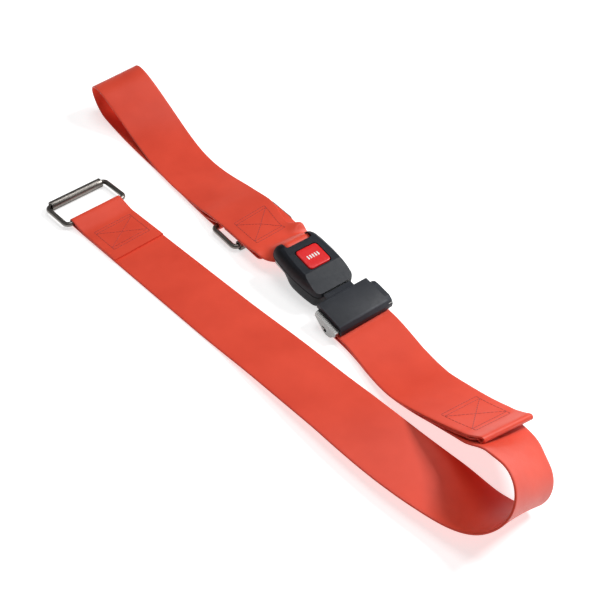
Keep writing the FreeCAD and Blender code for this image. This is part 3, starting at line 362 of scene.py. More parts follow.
def thread_material():
    m, t, b = nt_new("stitch_thread")
    obj = node(t, "ShaderNodeTexCoord").outputs["Object"]
    col = ramp(t, noise(t, obj, 700.0, 2.0), [(0.3, (0.34, 0.016, 0.010)), (0.7, (0.46, 0.026, 0.016))])
    t.links.new(col, b.inputs["Base Color"])
    b.inputs["Roughness"].default_value = 0.6
    b.inputs["Sheen Weight"].default_value = 0.25
    t.links.new(bump(t, noise(t, obj, 2600.0, 2.0), 0.4, 0.0001), b.inputs["Normal"])
    return m


def plastic_material(name, lo, hi, rough, grain=1.0, spec=0.45):
    m, t, b = nt_new(name)
    obj = node(t, "ShaderNodeTexCoord").outputs["Object"]
    broad = noise(t, obj, 45.0, 3.0)
    col = ramp(t, broad, [(0.3, lo), (0.75, hi)])
    geo = t.nodes.new("ShaderNodeNewGeometry")
    # painted highlight: the colour is lightened along sharp convex edges, standing in for the light those edges catch
    painted_edge_highlight = ramp(t, geo.outputs["Pointiness"], [(0.53, (0, 0, 0)), (0.60, (1, 1, 1))])
    col = mix_col(t, math_node(t, "MULTIPLY", painted_edge_highlight, 0.35), col, tuple(min(1.0, c * 2.2 + 0.01) for c in hi[:3]))
    t.links.new(col, b.inputs["Base Color"])
    vor = node(t, "ShaderNodeTexVoronoi", Scale=1500.0)
    t.links.new(obj, vor.inputs["Vector"])
    r = math_node(t, "ADD", math_node(t, "MULTIPLY", noise(t, obj, 300.0, 3.0), 0.18), rough - 0.09)
    t.links.new(r, b.inputs["Roughness"])
    b.inputs["Specular IOR Level"].default_value = spec
    n1 = bump(t, vor.outputs["Distance"], 0.22 * grain, 0.00012)
    n2 = bump(t, noise(t, obj, 500.0, 3.0), 0.12 * grain, 0.0002, n1)
    t.links.new(n2, b.inputs["Normal"])
    return m


def metal_material(name, lo, hi, rough, brush=(900.0, 60.0, 900.0), bump_amt=0.10):
    m, t, b = nt_new(name)
    obj = node(t, "ShaderNodeTexCoord").outputs["Object"]
    mp = node(t, "ShaderNodeMapping")
    mp.inputs["Scale"].default_value = brush
    t.links.new(obj, mp.inputs["Vector"])
    streak = noise(t, mp.outputs["Vector"], 1.0, 3.0)
    blotch = noise(t, obj, 90.0, 4.0)
    col = ramp(t, math_node(t, "ADD", math_node(t, "MULTIPLY", streak, 0.5), math_node(t, "MULTIPLY", blotch, 0.5)), [(0.35, lo), (0.65, hi)])
    t.links.new(col, b.inputs["Base Color"])
    b.inputs["Metallic"].default_value = 1.0
    r = math_node(t, "ADD", math_node(t, "MULTIPLY", blotch, 0.22), rough - 0.08)
    t.links.new(r, b.inputs["Roughness"])
    n1 = bump(t, streak, bump_amt, 0.0001)
    n2 = bump(t, noise(t, obj, 420.0, 3.0), bump_amt, 0.0001, n1)
    t.links.new(n2, b.inputs["Normal"])
    return m


WEB_DARK = (0.70, 0.054, 0.022)
WEB_LIGHT = (0.80, 0.072, 0.032)
MAT = {
    "webbing": webbing_material(),
    "thread": thread_material(),
    "housing_plastic": plastic_material("housing_plastic", (0.0060, 0.0075, 0.0105), (0.0095, 0.0120, 0.0165), 0.46, 1.0, 0.20),
    "cover_plastic": plastic_material("cover_plastic", (0.012, 0.014, 0.019), (0.021, 0.024, 0.031), 0.52, 1.3, 0.26),
    "button_plastic": plastic_material("button_plastic", (0.66, 0.010, 0.012), (0.74, 0.016, 0.018), 0.36, 0.5, 0.35),
    "ejector_plastic": plastic_material("ejector_plastic", (0.55, 0.55, 0.52), (0.62, 0.62, 0.60), 0.45, 0.6),
    "mark_plastic": plastic_material("mark_plastic", (0.80, 0.78, 0.76), (0.88, 0.87, 0.86), 0.45, 0.4),
    "zinc_plated_steel": metal_material("zinc_plated_steel", (0.27, 0.27, 0.265), (0.42, 0.42, 0.41), 0.30),
    "ring_nickel": metal_material("ring_nickel", (0.155, 0.146, 0.135), (0.27, 0.25, 0.23), 0.30, (120.0, 900.0, 900.0)),
    "spring_steel": metal_material("spring_steel", (0.38, 0.38, 0.39), (0.55, 0.55, 0.56), 0.30),
}

slot_of = {p["node"]: p["material_slot"] for p in frame["record"]["subparts"]}
for name, ob in frame["nodes"].items():
    mat = MAT[slot_of[name]]
    if not ob.material_slots:
        ob.data.materials.append(mat)
    for sl in ob.material_slots:
        sl.material = mat


# ------------------------------------------------------------- mesh helpers
def link(ob):
    bpy.context.scene.collection.objects.link(ob)
    return ob


def mesh_object(name, verts, faces, mat, smooth=True, sharp=40.0):
    me = bpy.data.meshes.new(name)
    me.from_pydata([tuple(float(c) * MM for c in v) for v in verts], [], [tuple(f) for f in faces])
    me.materials.append(MAT[mat])
    me.validate()
    me.update()
    ob = link(bpy.data.objects.new(name, me))
    fix_normals(me)
    if smooth:
        shade(me, sharp)
    return ob


def fix_normals(me):
    bm = bmesh.new()
    bm.from_mesh(me)
    bmesh.ops.recalc_face_normals(bm, faces=bm.faces[:])
    bm.to_mesh(me)
    bm.free()


def shade(me, sharp=40.0):
    me.polygons.foreach_set("use_smooth", [True] * len(me.polygons))
    if hasattr(me, "set_sharp_from_angle"):
        me.set_sharp_from_angle(angle=math.radians(sharp))
    me.update()


def apply_mods(ob):
    dg = bpy.context.evaluated_depsgraph_get()
    me = bpy.data.meshes.new_from_object(ob.evaluated_get(dg), preserve_all_data_layers=True, depsgraph=dg)
    ob.modifiers.clear()
    old = ob.data
    ob.data = me
    bpy.data.meshes.remove(old)
    return ob


def bevel(ob, width, segments=3, angle=30.0, sharp=35.0):
    md = ob.modifiers.new("bevel", "BEVEL")
    md.width = width * MM
    md.segments = segments
    md.limit_method = "ANGLE"
    md.angle_limit = math.radians(angle)
    md.use_clamp_overlap = True
    md.miter_outer = "MITER_ARC"
    apply_mods(ob)
    shade(ob.data, sharp)
    return ob


def boolean(ob, cutter, op="DIFFERENCE"):
    md = ob.modifiers.new("bool", "BOOLEAN")
    md.operation = op
    md.solver = "EXACT"
    md.object = cutter
    bpy.context.view_layer.update()
    apply_mods(ob)
    bpy.data.objects.remove(cutter)
    return ob


def levels_object(name, levels, mat):
    """stack of closed outlines (each a list of xyz, all the same length)"""
    n = len(levels[0])
    verts = [p for lv in levels for p in lv]
    faces = []
    for k in range(len(levels) - 1):
        for i in range(n):
            j = (i + 1) % n
            faces.append((k * n + i, k * n + j, (k + 1) * n + j, (k + 1) * n + i))
    faces.append(tuple(reversed(range(n))))
    faces.append(tuple((len(levels) - 1) * n + i for i in range(n)))
    return mesh_object(name, verts, faces, mat, smooth=False)


def rounded_outline(pts, r, seg=5):
    """closed polygon with its corners rounded"""
    out = []
    n = len(pts)
    for i in range(n):
        p, a, b = np.array(pts[i], float), np.array(pts[i - 1], float), np.array(pts[(i + 1) % n], float)
        da, db = (a - p) / np.linalg.norm(a - p), (b - p) / np.linalg.norm(b - p)
        d = min(r, 0.45 * np.linalg.norm(a - p), 0.45 * np.linalg.norm(b - p))
        q0, q1 = p + da * d, p + db * d
        for k in range(seg + 1):
            t = k / seg
            out.append(tuple((1 - t) ** 2 * q0 + 2 * t * (1 - t) * p + t * t * q1))
    return out


def prism(name, outline, w0, w1, mat="housing_plastic"):
    return levels_object(name, [[bk(u, v, w0) for u, v in outline], [bk(u, v, w1) for u, v in outline]], mat)


def side_prism(name, profile, v0, v1, mat="housing_plastic"):
    """profile in u,w run across v"""
    return levels_object(name, [[bk(u, v0, w) for u, w in profile], [bk(u, v1, w) for u, w in profile]], mat)


# ---------------------------------------------------------------- webbing
WEB_T = 1.5
HW = 25.4


def unit(a):
    a = np.asarray(a, float)
    return a / np.maximum(np.linalg.norm(a, axis=-1, keepdims=True), 1e-12)


def cubic(ts, ys, tq):
    """natural cubic spline through the rows of ys"""
    ts, ys, tq = np.asarray(ts, float), np.asarray(ys, float), np.asarray(tq, float)
    n = len(ts)
    h = np.diff(ts)
    A = np.zeros((n, n))
    r = np.zeros((n, ys.shape[1]))
    A[0, 0] = A[-1, -1] = 1.0
    for i in range(1, n - 1):
        A[i, i - 1], A[i, i], A[i, i + 1] = h[i - 1], 2 * (h[i - 1] + h[i]), h[i]
        r[i] = 6 * ((ys[i + 1] - ys[i]) / h[i] - (ys[i] - ys[i - 1]) / h[i - 1])
    m = np.linalg.solve(A, r)
    k = np.clip(np.searchsorted(ts, tq) - 1, 0, n - 2)
    a, b = ts[k + 1] - tq, tq - ts[k]
    hk = h[k][:, None]
    a, b = a[:, None], b[:, None]
    return (m[k] * a ** 3 + m[k + 1] * b ** 3) / (6 * hk) + (ys[k] / hk - m[k] * hk / 6) * a + (ys[k + 1] / hk - m[k + 1] * hk / 6) * b


def dense(C, L, step=1.6, fine=None):
    """evenly walked frames along a path given by centres and across vectors"""
    C, L = np.asarray(C, float), unit(L)
    s = np.concatenate([[0], np.cumsum(np.linalg.norm(np.diff(C, axis=0), axis=1))])
    q = [0.0]
    while q[-1] < s[-1] - 1e-6:
        k = min(np.searchsorted(s, q[-1] + 1e-9), len(s) - 1)
        gap = s[k] - s[k - 1]
        q.append(min(q[-1] + min(step, max(gap * 0.9, 0.45)), s[-1]))
    q = np.array(q)
    Cd, Ld = cubic(s, C, q), unit(cubic(s, L, q))
    T = unit(np.gradient(Cd, axis=0))
    N = unit(np.cross(T, Ld))
    T = np.cross(Ld, N)
    return Cd, T, Ld, N, q


def arc_xz(cx, cz, r, a0, a1, n):
    return [(cx + r * math.cos(a0 + (a1 - a0) * i / n), cz + r * math.sin(a0 + (a1 - a0) * i / n)) for i in range(n + 1)]


def section(half_w, lat=24, edge=0.55):
    """closed cross-section of the web: (across, normal) pairs, top then bottom, with rounded edges"""
    h = WEB_T / 2
    top = []
    for i in range(lat + 1):
        f = -1 + 2 * i / lat
        f = math.copysign(abs(f) ** 0.85, f)
        top.append((f * (half_w - edge), h))
    side = [(half_w - edge + edge * math.sin(a), h - h * (1 - math.cos(a))) for a in (0.5, 1.05)] + [(half_w, 0.0)] + \
           [(half_w - edge + edge * math.sin(a), -h + h * (1 - math.cos(a))) for a in (1.05, 0.5)]
    loop = top + side + [(l, -n) for l, n in reversed(top)] + [(-l, -n) for l, n in side]
    return loop


def web_object(name, fr, shape=None, lat=24):
    """the closed web along a path. shape(s, across) -> (across, normal) bends its section"""
    C, T, L, N, s = fr
    verts, uvs = [], []
    base = section(HW, lat)
    m = len(base)
    for i in range(len(C)):
        for l, n in base:
            uvs.append((l * MM, s[i] * MM))
            if shape is None:
                p = C[i] + L[i] * l + N[i] * n
            else:
                a, b, th = shape(s[i], l)
                # th turns the section's own normal as the web curls across its width
                p = C[i] + L[i] * (a - n * math.sin(th)) + N[i] * (b + n * math.cos(th))
            verts.append(p + SHIFT)
    k = len(C)
    faces = []
    for i in range(k - 1):
        for j in range(m):
            q = (j + 1) % m
            faces.append((i * m + j, i * m + q, (i + 1) * m + q, (i + 1) * m + j))
    nt = lat + 1
    for base_i, flip in ((0, False), ((k - 1) * m, True)):
        # ends closed with a strip between the top and the bottom row
        top = [base_i + j for j in range(nt)]
        bot = [base_i + nt + 5 + (nt - 1 - j) for j in range(nt)]
        quads = [(top[j], top[j + 1], bot[j + 1], bot[j]) for j in range(nt - 1)]
        r = [base_i + nt - 1] + [base_i + nt + j for j in range(5)] + [base_i + nt + 5]
        lft = [base_i + m - 5 - 1] + [base_i + m - 5 + j for j in range(5)] + [base_i]
        quads += [tuple(r), tuple(lft)]
        faces += [tuple(reversed(f)) if flip else f for f in quads]
    me = bpy.data.meshes.new(name)
    me.from_pydata([tuple(float(c) * MM for c in v) for v in verts], [], faces)
    me.materials.append(MAT["webbing"])
    layer = me.uv_layers.new(name="web")
    idx = np.zeros(len(me.loops), dtype=np.int32)
    me.loops.foreach_get("vertex_index", idx)
    layer.data.foreach_set("uv", np.array(uvs)[idx].ravel())
    me.update()
    fix_normals(me)
    shade(me, 50.0)
    return link(bpy.data.objects.new(name, me))


# long web: sewn flap, round ring A's bar, along the floor, up and over, back,
# round the adjuster bar, then the tail with its turned end
HEAD = math.radians(6.18)
E = np.array([math.cos(HEAD), math.sin(HEAD), 0.0])
NL = np.array([-math.sin(HEAD), math.cos(HEAD), 0.0])
P0 = np.array([-269.52, -108.18, 0.0])
UPZ = np.array([0.0, 0.0, 1.0])
BAR_A_S, RING_Z, RING_W, RING_L = 82.4, 4.45, 33.7, 61.0
R_EYE = 2.3 + WEB_T / 2
C, L = [], []


def run_pt(s, z):
    return P0 + E * s + UPZ * z


def add(p, l=NL):
    C.append(np.array(p, float))
    L.append(np.array(l, float))


for s in (147.3, 140, 132, 124, 116, 108, 101):
    add(run_pt(s, 2.27))
dx = 99.4 - BAR_A_S
ang = math.atan2(2.25 - RING_Z, dx) + math.acos(R_EYE / math.hypot(dx, 2.25 - RING_Z))
ang2 = math.atan2(0.75 - RING_Z, dx) - math.acos(R_EYE / math.hypot(dx, 0.75 - RING_Z))
tp = (BAR_A_S + R_EYE * math.cos(ang), RING_Z + R_EYE * math.sin(ang))
for f in (0.35, 0.7):
    add(run_pt(99.4 + (tp[0] - 99.4) * f, 2.3 + (tp[1] - 2.3) * f))
for a, b in arc_xz(BAR_A_S, RING_Z, R_EYE, ang, ang2 + 2 * math.pi, 12):
    add(run_pt(a, b))
bp = (BAR_A_S + R_EYE * math.cos(ang2), RING_Z + R_EYE * math.sin(ang2))
for f in (0.35, 0.7):
    add(run_pt(bp[0] + (99.4 - bp[0]) * f, bp[1] + (0.75 - bp[1]) * f))
for s in range(101, 250, 12):
    add(run_pt(s, 0.75))
for q in LONG_STATIONS:
    add(q[:3], q[3:])
BARX, BARZ = bk(52.0, 0, 6.46)[0] - SHIFT[0], bk(52.0, 0, 6.46)[2]
ex, ez = TAIL_STATIONS[0][0], TAIL_STATIONS[0][2]
ra = 3.25 + WEB_T / 2
tan_ang = math.atan2(ez - BARZ, ex - BARX) + math.acos(ra / math.hypot(ex - BARX, ez - BARZ))
YC = LONG_STATIONS[-1][1]
LY = np.array([0.0, 1.0, 0.0])
for x in (60.0, 54.0):
    add((x, YC, 1.0), LY)
for x, z in arc_xz(BARX, BARZ, ra, -math.pi / 2, -2 * math.pi + tan_ang, 16):
    add((x, YC, z), LY)
tx, tz = BARX + ra * math.cos(tan_ang), BARZ + ra * math.sin(tan_ang)
for f in (0.35, 0.7):
    add((tx + (ex - tx) * f, YC, tz + (ez - tz) * f), LY)
S_TAIL0 = len(C)
for i, q in enumerate(TAIL_STATIONS):
    d = len(TAIL_STATIONS) - 1 - i
    add(np.array(q[:3]) + UPZ * {0: 1.75, 1: 0.55, 2: -0.25}.get(d, 0.0), q[3:])
tail = [(np.array(q[:3]), unit(np.array(q[3:]))) for q in TAIL_STATIONS]
e0, e1 = tail[-1], tail[-2]
Te = unit(e0[0] - e1[0])
Le = e0[1]
Ne = unit(np.cross(Te, Le))
cc = e0[0] + Te * 1.6 + Ne * 0.1
for i in range(1, 9):
    a = math.radians(80) - math.radians(235) * i / 8
    add(cc + Te * math.cos(a) * 1.9 + Ne * (math.sin(a) * 1.75 - 0.1), Le)
fl = [i for i in range(len(tail) - 1, 19, -1)]
for i in fl[1:]:
    t = unit(tail[min(i + 1, len(tail) - 1)][0] - tail[i - 1][0])
    n = unit(np.cross(t, tail[i][1]))
    k = min(1.0, (len(tail) - 1 - i) / 2.0)
    add(tail[i][0] - n * (1.53 + 0.1 * (1 - k)), tail[i][1])
LONG = dense(C, L)
# the turn round the lock bar is its own piece, parted under the cover
i_tail = int(np.argmin(np.linalg.norm(LONG[0] - np.array(TAIL_STATIONS[0][:3]), axis=1) + 100 * (np.arange(len(LONG[0])) < len(LONG[0]) * 0.6)))
near_bar = [j for j in range(i_tail) if LONG[4][i_tail] - LONG[4][j] < 46.0]
i_bar = min(near_bar, key=lambda j: LONG[0][j][0])
i_in = min((j for j in near_bar if j < i_bar), key=lambda j: abs(LONG[0][j][0] - 61.5))
i_out = min((j for j in near_bar if j > i_bar), key=lambda j: abs(LONG[0][j][0] - 61.5))
long_strap = web_object("long_strap_web", tuple(a[:i_in + 1] for a in LONG))
bar_loop = web_object("adjuster_loop_web", tuple(a[i_in:i_out + 1] for a in LONG))
tail_web = web_object("tail_web", tuple(a[i_out:] for a in LONG))
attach(long_strap, "tongue_half")
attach(tail_web, "tongue_half")
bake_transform(bar_loop)
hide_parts("long_strap_ring_eye", "long_strap_ring_flap", "long_strap_lower_run", "long_strap_rising_run", "long_strap_fold",
            "long_strap_return_run")
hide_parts("long_strap_adjuster_loop")
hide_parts("long_strap_tail", "tail_tab_flap", "tail_tab_end")

# short web: flap, round the buckle's anchor bar, upper layer, far loop,
# lower layer, round ring B's bar, flap
sh = [(np.array(q[:3]), unit(np.array(q[3:]))) for q in SHORT_STATIONS]
C, L = [], []
LS = np.array([0.0, -1.0, 0.0])


def sframe(i):
    t = unit(sh[min(i + 1, len(sh) - 1)][0] - sh[max(i - 1, 0)][0])
    return unit(np.cross(t, sh[i][1]))


for i in range(7, 0, -1):
    add(sh[i][0] - sframe(i) * 1.54, sh[i][1])


def bxz(u, w):
    p = bk(u, 0, w)
    return p[0] - SHIFT[0], p[2]


EYE_PTS = [(-31.0, 2.4), (-26.5, 5.4), (-22.5, 7.9), (-19.5, 8.6), (-17.4, 10.4), (-16.9, 13.2), (-17.7, 16.4), (-19.7, 19.0), (-22.8, 19.7), (-26.6, 17.6), (-31.0, 13.2)]
add((sh[0][0][0] - 0.5, 0.3, 11.0), LS)
N_FLAP = len(C)
for u, w in EYE_PTS:
    x, z = bxz(u, w)
    add((x, 1.3, z), LS)
N_EYE = len(C)
add((sh[0][0][0] - 2.0, 0.6, sh[0][0][2] + 3.1), LS)
for i, (c, l) in enumerate(sh):
    if i < 2:
        continue
    if c[0] > -123.0 and i > len(sh) // 2:
        break
    add(c + UPZ * (1.0 if i == 2 else 0.0), l)
BXB, BYB = -104.0, 0.5
for x in (-118.0,):
    pass
dxb = -(-121.0 - BXB)
a_lo = math.pi - (math.atan2(0.75 - RING_Z, dxb) - math.acos(R_EYE / math.hypot(dxb, 0.75 - RING_Z)))
a_hi = math.pi - (math.atan2(2.25 - RING_Z, dxb) + math.acos(R_EYE / math.hypot(dxb, 2.25 - RING_Z)))
lo_pt = (BXB + R_EYE * math.cos(a_lo), RING_Z + R_EYE * math.sin(a_lo))
hi_pt = (BXB + R_EYE * math.cos(a_hi), RING_Z + R_EYE * math.sin(a_hi))
add((-121.0, BYB, 0.75), LS)
for f in (0.4, 0.75):
    add((-121 + (lo_pt[0] + 121) * f, BYB, 0.75 + (lo_pt[1] - 0.75) * f), LS)
al = a_lo % (2 * math.pi)
ah = a_hi % (2 * math.pi)
if al > ah:
    al -= 2 * math.pi
for x, z in arc_xz(BXB, RING_Z, R_EYE, al, ah, 12):
    add((x, BYB, z), LS)
for f in (0.25, 0.6):
    add((hi_pt[0] + (-121 - hi_pt[0]) * f, BYB, hi_pt[1] + (2.3 - hi_pt[1]) * f), LS)
for x in (-122.5, -129, -136, -142, -145.8):
    add((x, BYB, 2.28), LS)
SHORT = dense(C, L)
X_AT = SHORT[0][:, 0]
i_top = int(np.argmax(np.where(X_AT > -40, SHORT[0][:, 2], -1)))


def s_up(x):
    """path length where the upper layer passes x"""
    k = np.arange(len(X_AT))
    return float(SHORT[4][np.argmin(np.abs(X_AT - x) + 1000.0 * ((k < i_top) | (k > len(X_AT) * 0.6)))])


def s_low(x):
    """path length where the flap under it passes x"""
    k = np.arange(len(X_AT))
    return float(SHORT[4][np.argmin(np.abs(X_AT - x) + 1000.0 * (k > i_top * 0.7))])


S_LOW0, S_LOW1 = s_low(-41.0), s_low(-31.0)
S_FRONT, S_TOP = float(SHORT[4][i_top]) - 6.0, float(SHORT[4][i_top])
S_G1, S_G0, S_CORNER = s_up(-31.0), s_up(-46.5), s_up(-49.5)


def smooth01(x):
    x = min(max(x, 0.0), 1.0)
    return x * x * (3 - 2 * x)


def gather(s, l):
    """the end is drawn together to go through the buckle's slot: its edges fold down and in"""
    if s > S_CORNER + 48 or s < S_LOW0:
        return l, 0.0, 0.0
    if s > S_FRONT and l < 0:
        # the far edge already draws in along the stitched end
        l *= 1 - 0.26 * (1 - smooth01((s - S_CORNER - 8) / 38.0)) * smooth01((s - S_CORNER + 3.0) / 11.0)
    if s < S_FRONT:
        f = 1 - 0.52 * smooth01((s - S_LOW0) / (S_LOW1 - S_LOW0))
        return l * f, 0.0, 0.0
    g = 1 - smooth01((s - S_G1) / (S_G0 - S_G1))
    sg = math.copysign(1.0, l)
    a = abs(l)
    flat, rad, turn = 9.2, 4.6, math.radians(74)
    lim = 0.28 + 0.72 * smooth01((s - S_FRONT) / 14.0)
    a = min(a, flat) + max(a - flat, 0) * lim
    # the far corner lifts where the edge turns in
    lift = 3.9 * math.exp(-((s - S_CORNER + 1.5) / 6.4) ** 2) * smooth01((-l - 8.0) / 16.0)
    ph = g * turn
    arc_len = rad * turn
    if a <= flat or ph < 1e-4:
        return sg * a, lift, 0.0
    r = arc_len / ph
    if a < flat + arc_len:
        th = (a - flat) / r
        return sg * (flat + r * math.sin(th)), -r * (1 - math.cos(th)) + lift, -sg * th
    rest = a - flat - arc_len
    return (sg * (flat + r * math.sin(ph) + rest * math.cos(ph)), -r * (1 - math.cos(ph)) - rest * math.sin(ph) + lift, -sg * ph)


short_strap = web_object("short_strap_web", SHORT, gather)
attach(short_strap, "buckle_half")
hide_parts("short_strap_buckle_eye", "short_strap_buckle_flap", "short_strap_upper_run", "short_strap_far_loop",
            "short_strap_lower_run", "short_strap_ring_eye", "short_strap_ring_flap")


# --------------------------------------------------------------- stitching
def stitch_object(name, place, s0, s1, hl, lc=0.0, pitch=2.7, length=2.62, r=0.30):
    """sewn box with crossed diagonals; place(s, l) -> point and normal on the web's face"""
    a0_, a1_ = s0 + 3.2, s1 - 3.2
    lines = [((s0, lc - hl), (s1, lc - hl)), ((s1, lc - hl), (s1, lc + hl)), ((s1, lc + hl), (s0, lc + hl)), ((s0, lc + hl), (s0, lc - hl)),
             ((a0_, lc - hl), (a0_, lc + hl)), ((a1_, lc - hl), (a1_, lc + hl)),
             ((a0_, lc - hl), (a1_, lc + hl)), ((a0_, lc + hl), (a1_, lc - hl))]
    verts, faces = [], []
    for (a0, b0), (a1, b1) in lines:
        d = math.hypot(a1 - a0, b1 - b0)
        n = max(2, int(d / pitch))
        for i in range(n):
            t0 = (i + 0.5) / n - 0.5 * length / d
            t1 = (i + 0.5) / n + 0.5 * length / d
            ring = []
            for k, (f, rr) in enumerate(((0.0, 0.25), (0.16, 0.8), (0.5, 1.0), (0.84, 0.8), (1.0, 0.25))):
                t = t0 + (t1 - t0) * f
                p, nn = place(a0 + (a1 - a0) * t, b0 + (b1 - b0) * t)
                q, _ = place(a0 + (a1 - a0) * (t + 0.01), b0 + (b1 - b0) * (t + 0.01))
                tt = unit(q - p)
                side = np.cross(nn, tt)
                base = len(verts)
                for j in range(6):
                    an = 2 * math.pi * j / 6
                    verts.append(p + SHIFT + nn * (0.02 + rr * r * 0.75 * math.sin(an)) + side * (rr * r * math.cos(an)))
                ring.append(base)
            for a, b in zip(ring, ring[1:]):
                for j in range(6):
                    k2 = (j + 1) % 6
                    faces.append((a + j, a + k2, b + k2, b + j))
            faces.append(tuple(ring[0] + j for j in range(5, -1, -1)))
            faces.append(tuple(ring[-1] + j for j in range(6)))
    return mesh_object(name, verts, faces, "thread", True, 60.0)


def placer(fr, s_off, sgn, side=1.0, shape=None):
    Cc, T, Ll, Nn, ss = fr

    def f(s, l):
        q = s_off + sgn * s
        i = int(np.clip(np.searchsorted(ss, q) - 1, 0, len(ss) - 2))
        t = (q - ss[i]) / (ss[i + 1] - ss[i])
        c = Cc[i] * (1 - t) + Cc[i + 1] * t
        ll = unit(Ll[i] * (1 - t) + Ll[i + 1] * t)
        n = unit(Nn[i] * (1 - t) + Nn[i + 1] * t) * side
        if shape is not None:
            a, b, th = shape(q, l)
            return c + ll * a + unit(Nn[i]) * b + n * (WEB_T / 2), n
        return c + ll * l + n * (WEB_T / 2), n
    return f


st_a = stitch_object("ring_a_stitches", placer(LONG, 147.3, -1.0, -1.0), 105.0, 136.0, 18.5, 0.8)
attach(st_a, "tongue_half")
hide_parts("ring_a_stitching")
pathL_s = LONG[4]
i_tail = int(np.argmin(np.linalg.norm(LONG[0] - np.array(TAIL_STATIONS[0][:3]), axis=1) + 100 * (np.arange(len(LONG[0])) < len(LONG[0]) * 0.6)))
st_t = stitch_object("tail_stitches", placer(LONG, pathL_s[i_tail], 1.0, 1.0), 107.5, 137.0, 17.6, 0.6)
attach(st_t, "tongue_half")
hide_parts("tail_stitching")
i_up = int(np.argmin(np.linalg.norm(SHORT[0] - sh[3][0], axis=1)))
st_b = stitch_object("buckle_end_stitches", placer(SHORT, SHORT[4][i_up] - 22.9, 1.0, 1.0, gather), 15.0, 50.0, 16.5)
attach(st_b, "buckle_half")
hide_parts("buckle_end_stitching")
st_c = stitch_object("ring_b_stitches", placer(SHORT, SHORT[4][-1], -1.0, -1.0), 2.0, 24.0, 18.0)
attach(st_c, "buckle_half")
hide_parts("ring_b_stitching")


# ---------------------------------------------------------- buckle housing
OUTLINE = [(-28.5, 18.0), (-24.0, 21.0), (-14.0, 22.0), (2.0, 22.3), (16.0, 21.3), (31.0, 18.5)]
TOPLINE = [(-22.5, 12.0), (-19.0, 15.0), (-11.5, 16.6), (2.0, 17.4), (12.5, 17.6), (30.2, 15.4)]


def mirrored(half):
    return [(x, -y) for x, y in half] + [(x, y) for x, y in reversed(half)]


def lerp_line(f, d=0.0):
    pts = []
    for a, b in zip(OUTLINE, TOPLINE):
        pts.append((a[0] * (1 - f) + b[0] * f, a[1] * (1 - f) + b[1] * f - d))
    pts[0] = (pts[0][0] + d, pts[0][1])
    pts[-1] = (pts[-1][0] - d, pts[-1][1])
    return mirrored(pts)


def ring_at(f, d, w, r=5.0):
    return [bk(u, v, w) for u, v in rounded_outline(lerp_line(f, d), r)]


top_shell = levels_object("buckle_top_shell", [ring_at(0, 0.35, 12.1), ring_at(0, 0.0, 12.45), ring_at(0.06, 0, 15.0), ring_at(0.20, 0, 18.0),
                                               ring_at(0.46, 0, 20.4), ring_at(0.74, 0, 22.0), ring_at(1.0, 0, 23.0)], "housing_plastic")
boolean(top_shell, side_prism("cut_slope", [(12.5, 23.0), (12.5, 40), (60, 40), (60, 23.0 - 0.35 * 47.5)], -40, 40))
boolean(top_shell, prism("cut_cavity", [(-17.0, -13.5), (11.2, -14.2), (11.2, 14.2), (-17.0, 13.5)], 11.0, 20.2))
boolean(top_shell, prism("cut_button", rounded_outline([(-11.35, -11.35), (11.35, -11.35), (11.35, 11.35), (-11.35, 11.35)], 3.8, 6), 15.0, 30.0))
boolean(top_shell, prism("cut_slot", rounded_outline([(-45, -12.9), (-17.8, -12.9), (-17.8, 12.9), (-45, 12.9)], 2.0, 4), 11.0, 40.0))
boolean(top_shell, prism("cut_mouth", [(22, -12.6), (45, -12.6), (45, 12.6), (22, 12.6)], 11.0, 14.4))
bevel(top_shell, 0.75, 3, 28.0, 30.0)
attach(top_shell, "buckle_half")
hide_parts("housing_top")

def ring_bottom(w, front, rear):
    """outline of the lower half: drawn in more at the strap end, where the half is slimmer"""
    half = []
    for u, v in OUTLINE:
        d = front + (rear - front) * smooth01((-u + 3.0) / 15.0)
        half.append((u, v - d))
    half[0] = (half[0][0] + rear * 0.7, half[0][1])
    half[-1] = (half[-1][0] - front, half[-1][1])
    return [bk(u, v, w) for u, v in rounded_outline(mirrored(half), 5.0)]


bottom_shell = levels_object("buckle_bottom_shell", [ring_bottom(0.0, 2.2, 7.2), ring_bottom(0.5, 1.0, 6.2), ring_bottom(1.7, 0.25, 5.3), ring_bottom(3.0, 0.0, 4.5),
                                                     ring_bottom(6.0, 0.0, 2.7), ring_bottom(9.0, 0.0, 0.9), ring_bottom(11.0, 0.0, 0.15),
                                                     ring_bottom(11.55, 0.0, 0.0), ring_bottom(11.9, 0.35, 0.35)], "housing_plastic")
boolean(bottom_shell, prism("cut_cavity", rounded_outline(lerp_line(0.0, 6.4), 3), 2.2, 14.0))
boolean(bottom_shell, prism("cut_slot", rounded_outline([(-45, -17.0), (-21.8, -17.0), (-21.8, 17.0), (-45, 17.0)], 2.0, 4), -2.0, 14.0))
boolean(bottom_shell, prism("cut_mouth", [(22, -12.6), (45, -12.6), (45, 12.6), (22, 12.6)], 11.2, 14.4))
bevel(bottom_shell, 0.6, 3, 28.0, 30.0)
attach(bottom_shell, "buckle_half")
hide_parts("housing_bottom")

# ------------------------------------------------------------- push button
sq = [(-10.6, -10.6), (10.6, -10.6), (10.6, 10.6), (-10.6, 10.6)]


def scaled(o, k):
    return [(u * k, v * k) for u, v in o]


bo = rounded_outline(sq, 3.6, 7)
button = levels_object("press_button", [[bk(u, v, 19.6) for u, v in bo], [bk(u, v, 22.6) for u, v in bo], [bk(u, v, 23.15) for u, v in scaled(bo, 0.985)],
                                        [bk(u, v, 23.45) for u, v in scaled(bo, 0.95)], [bk(u, v, 23.58) for u, v in scaled(bo, 0.88)],
                                        [bk(u, v, 23.52) for u, v in scaled(bo, 0.6)], [bk(u, v, 23.46) for u, v in scaled(bo, 0.3)]], "button_plastic")
shade(button.data, 50.0)
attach(button, "button")
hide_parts("push_button")
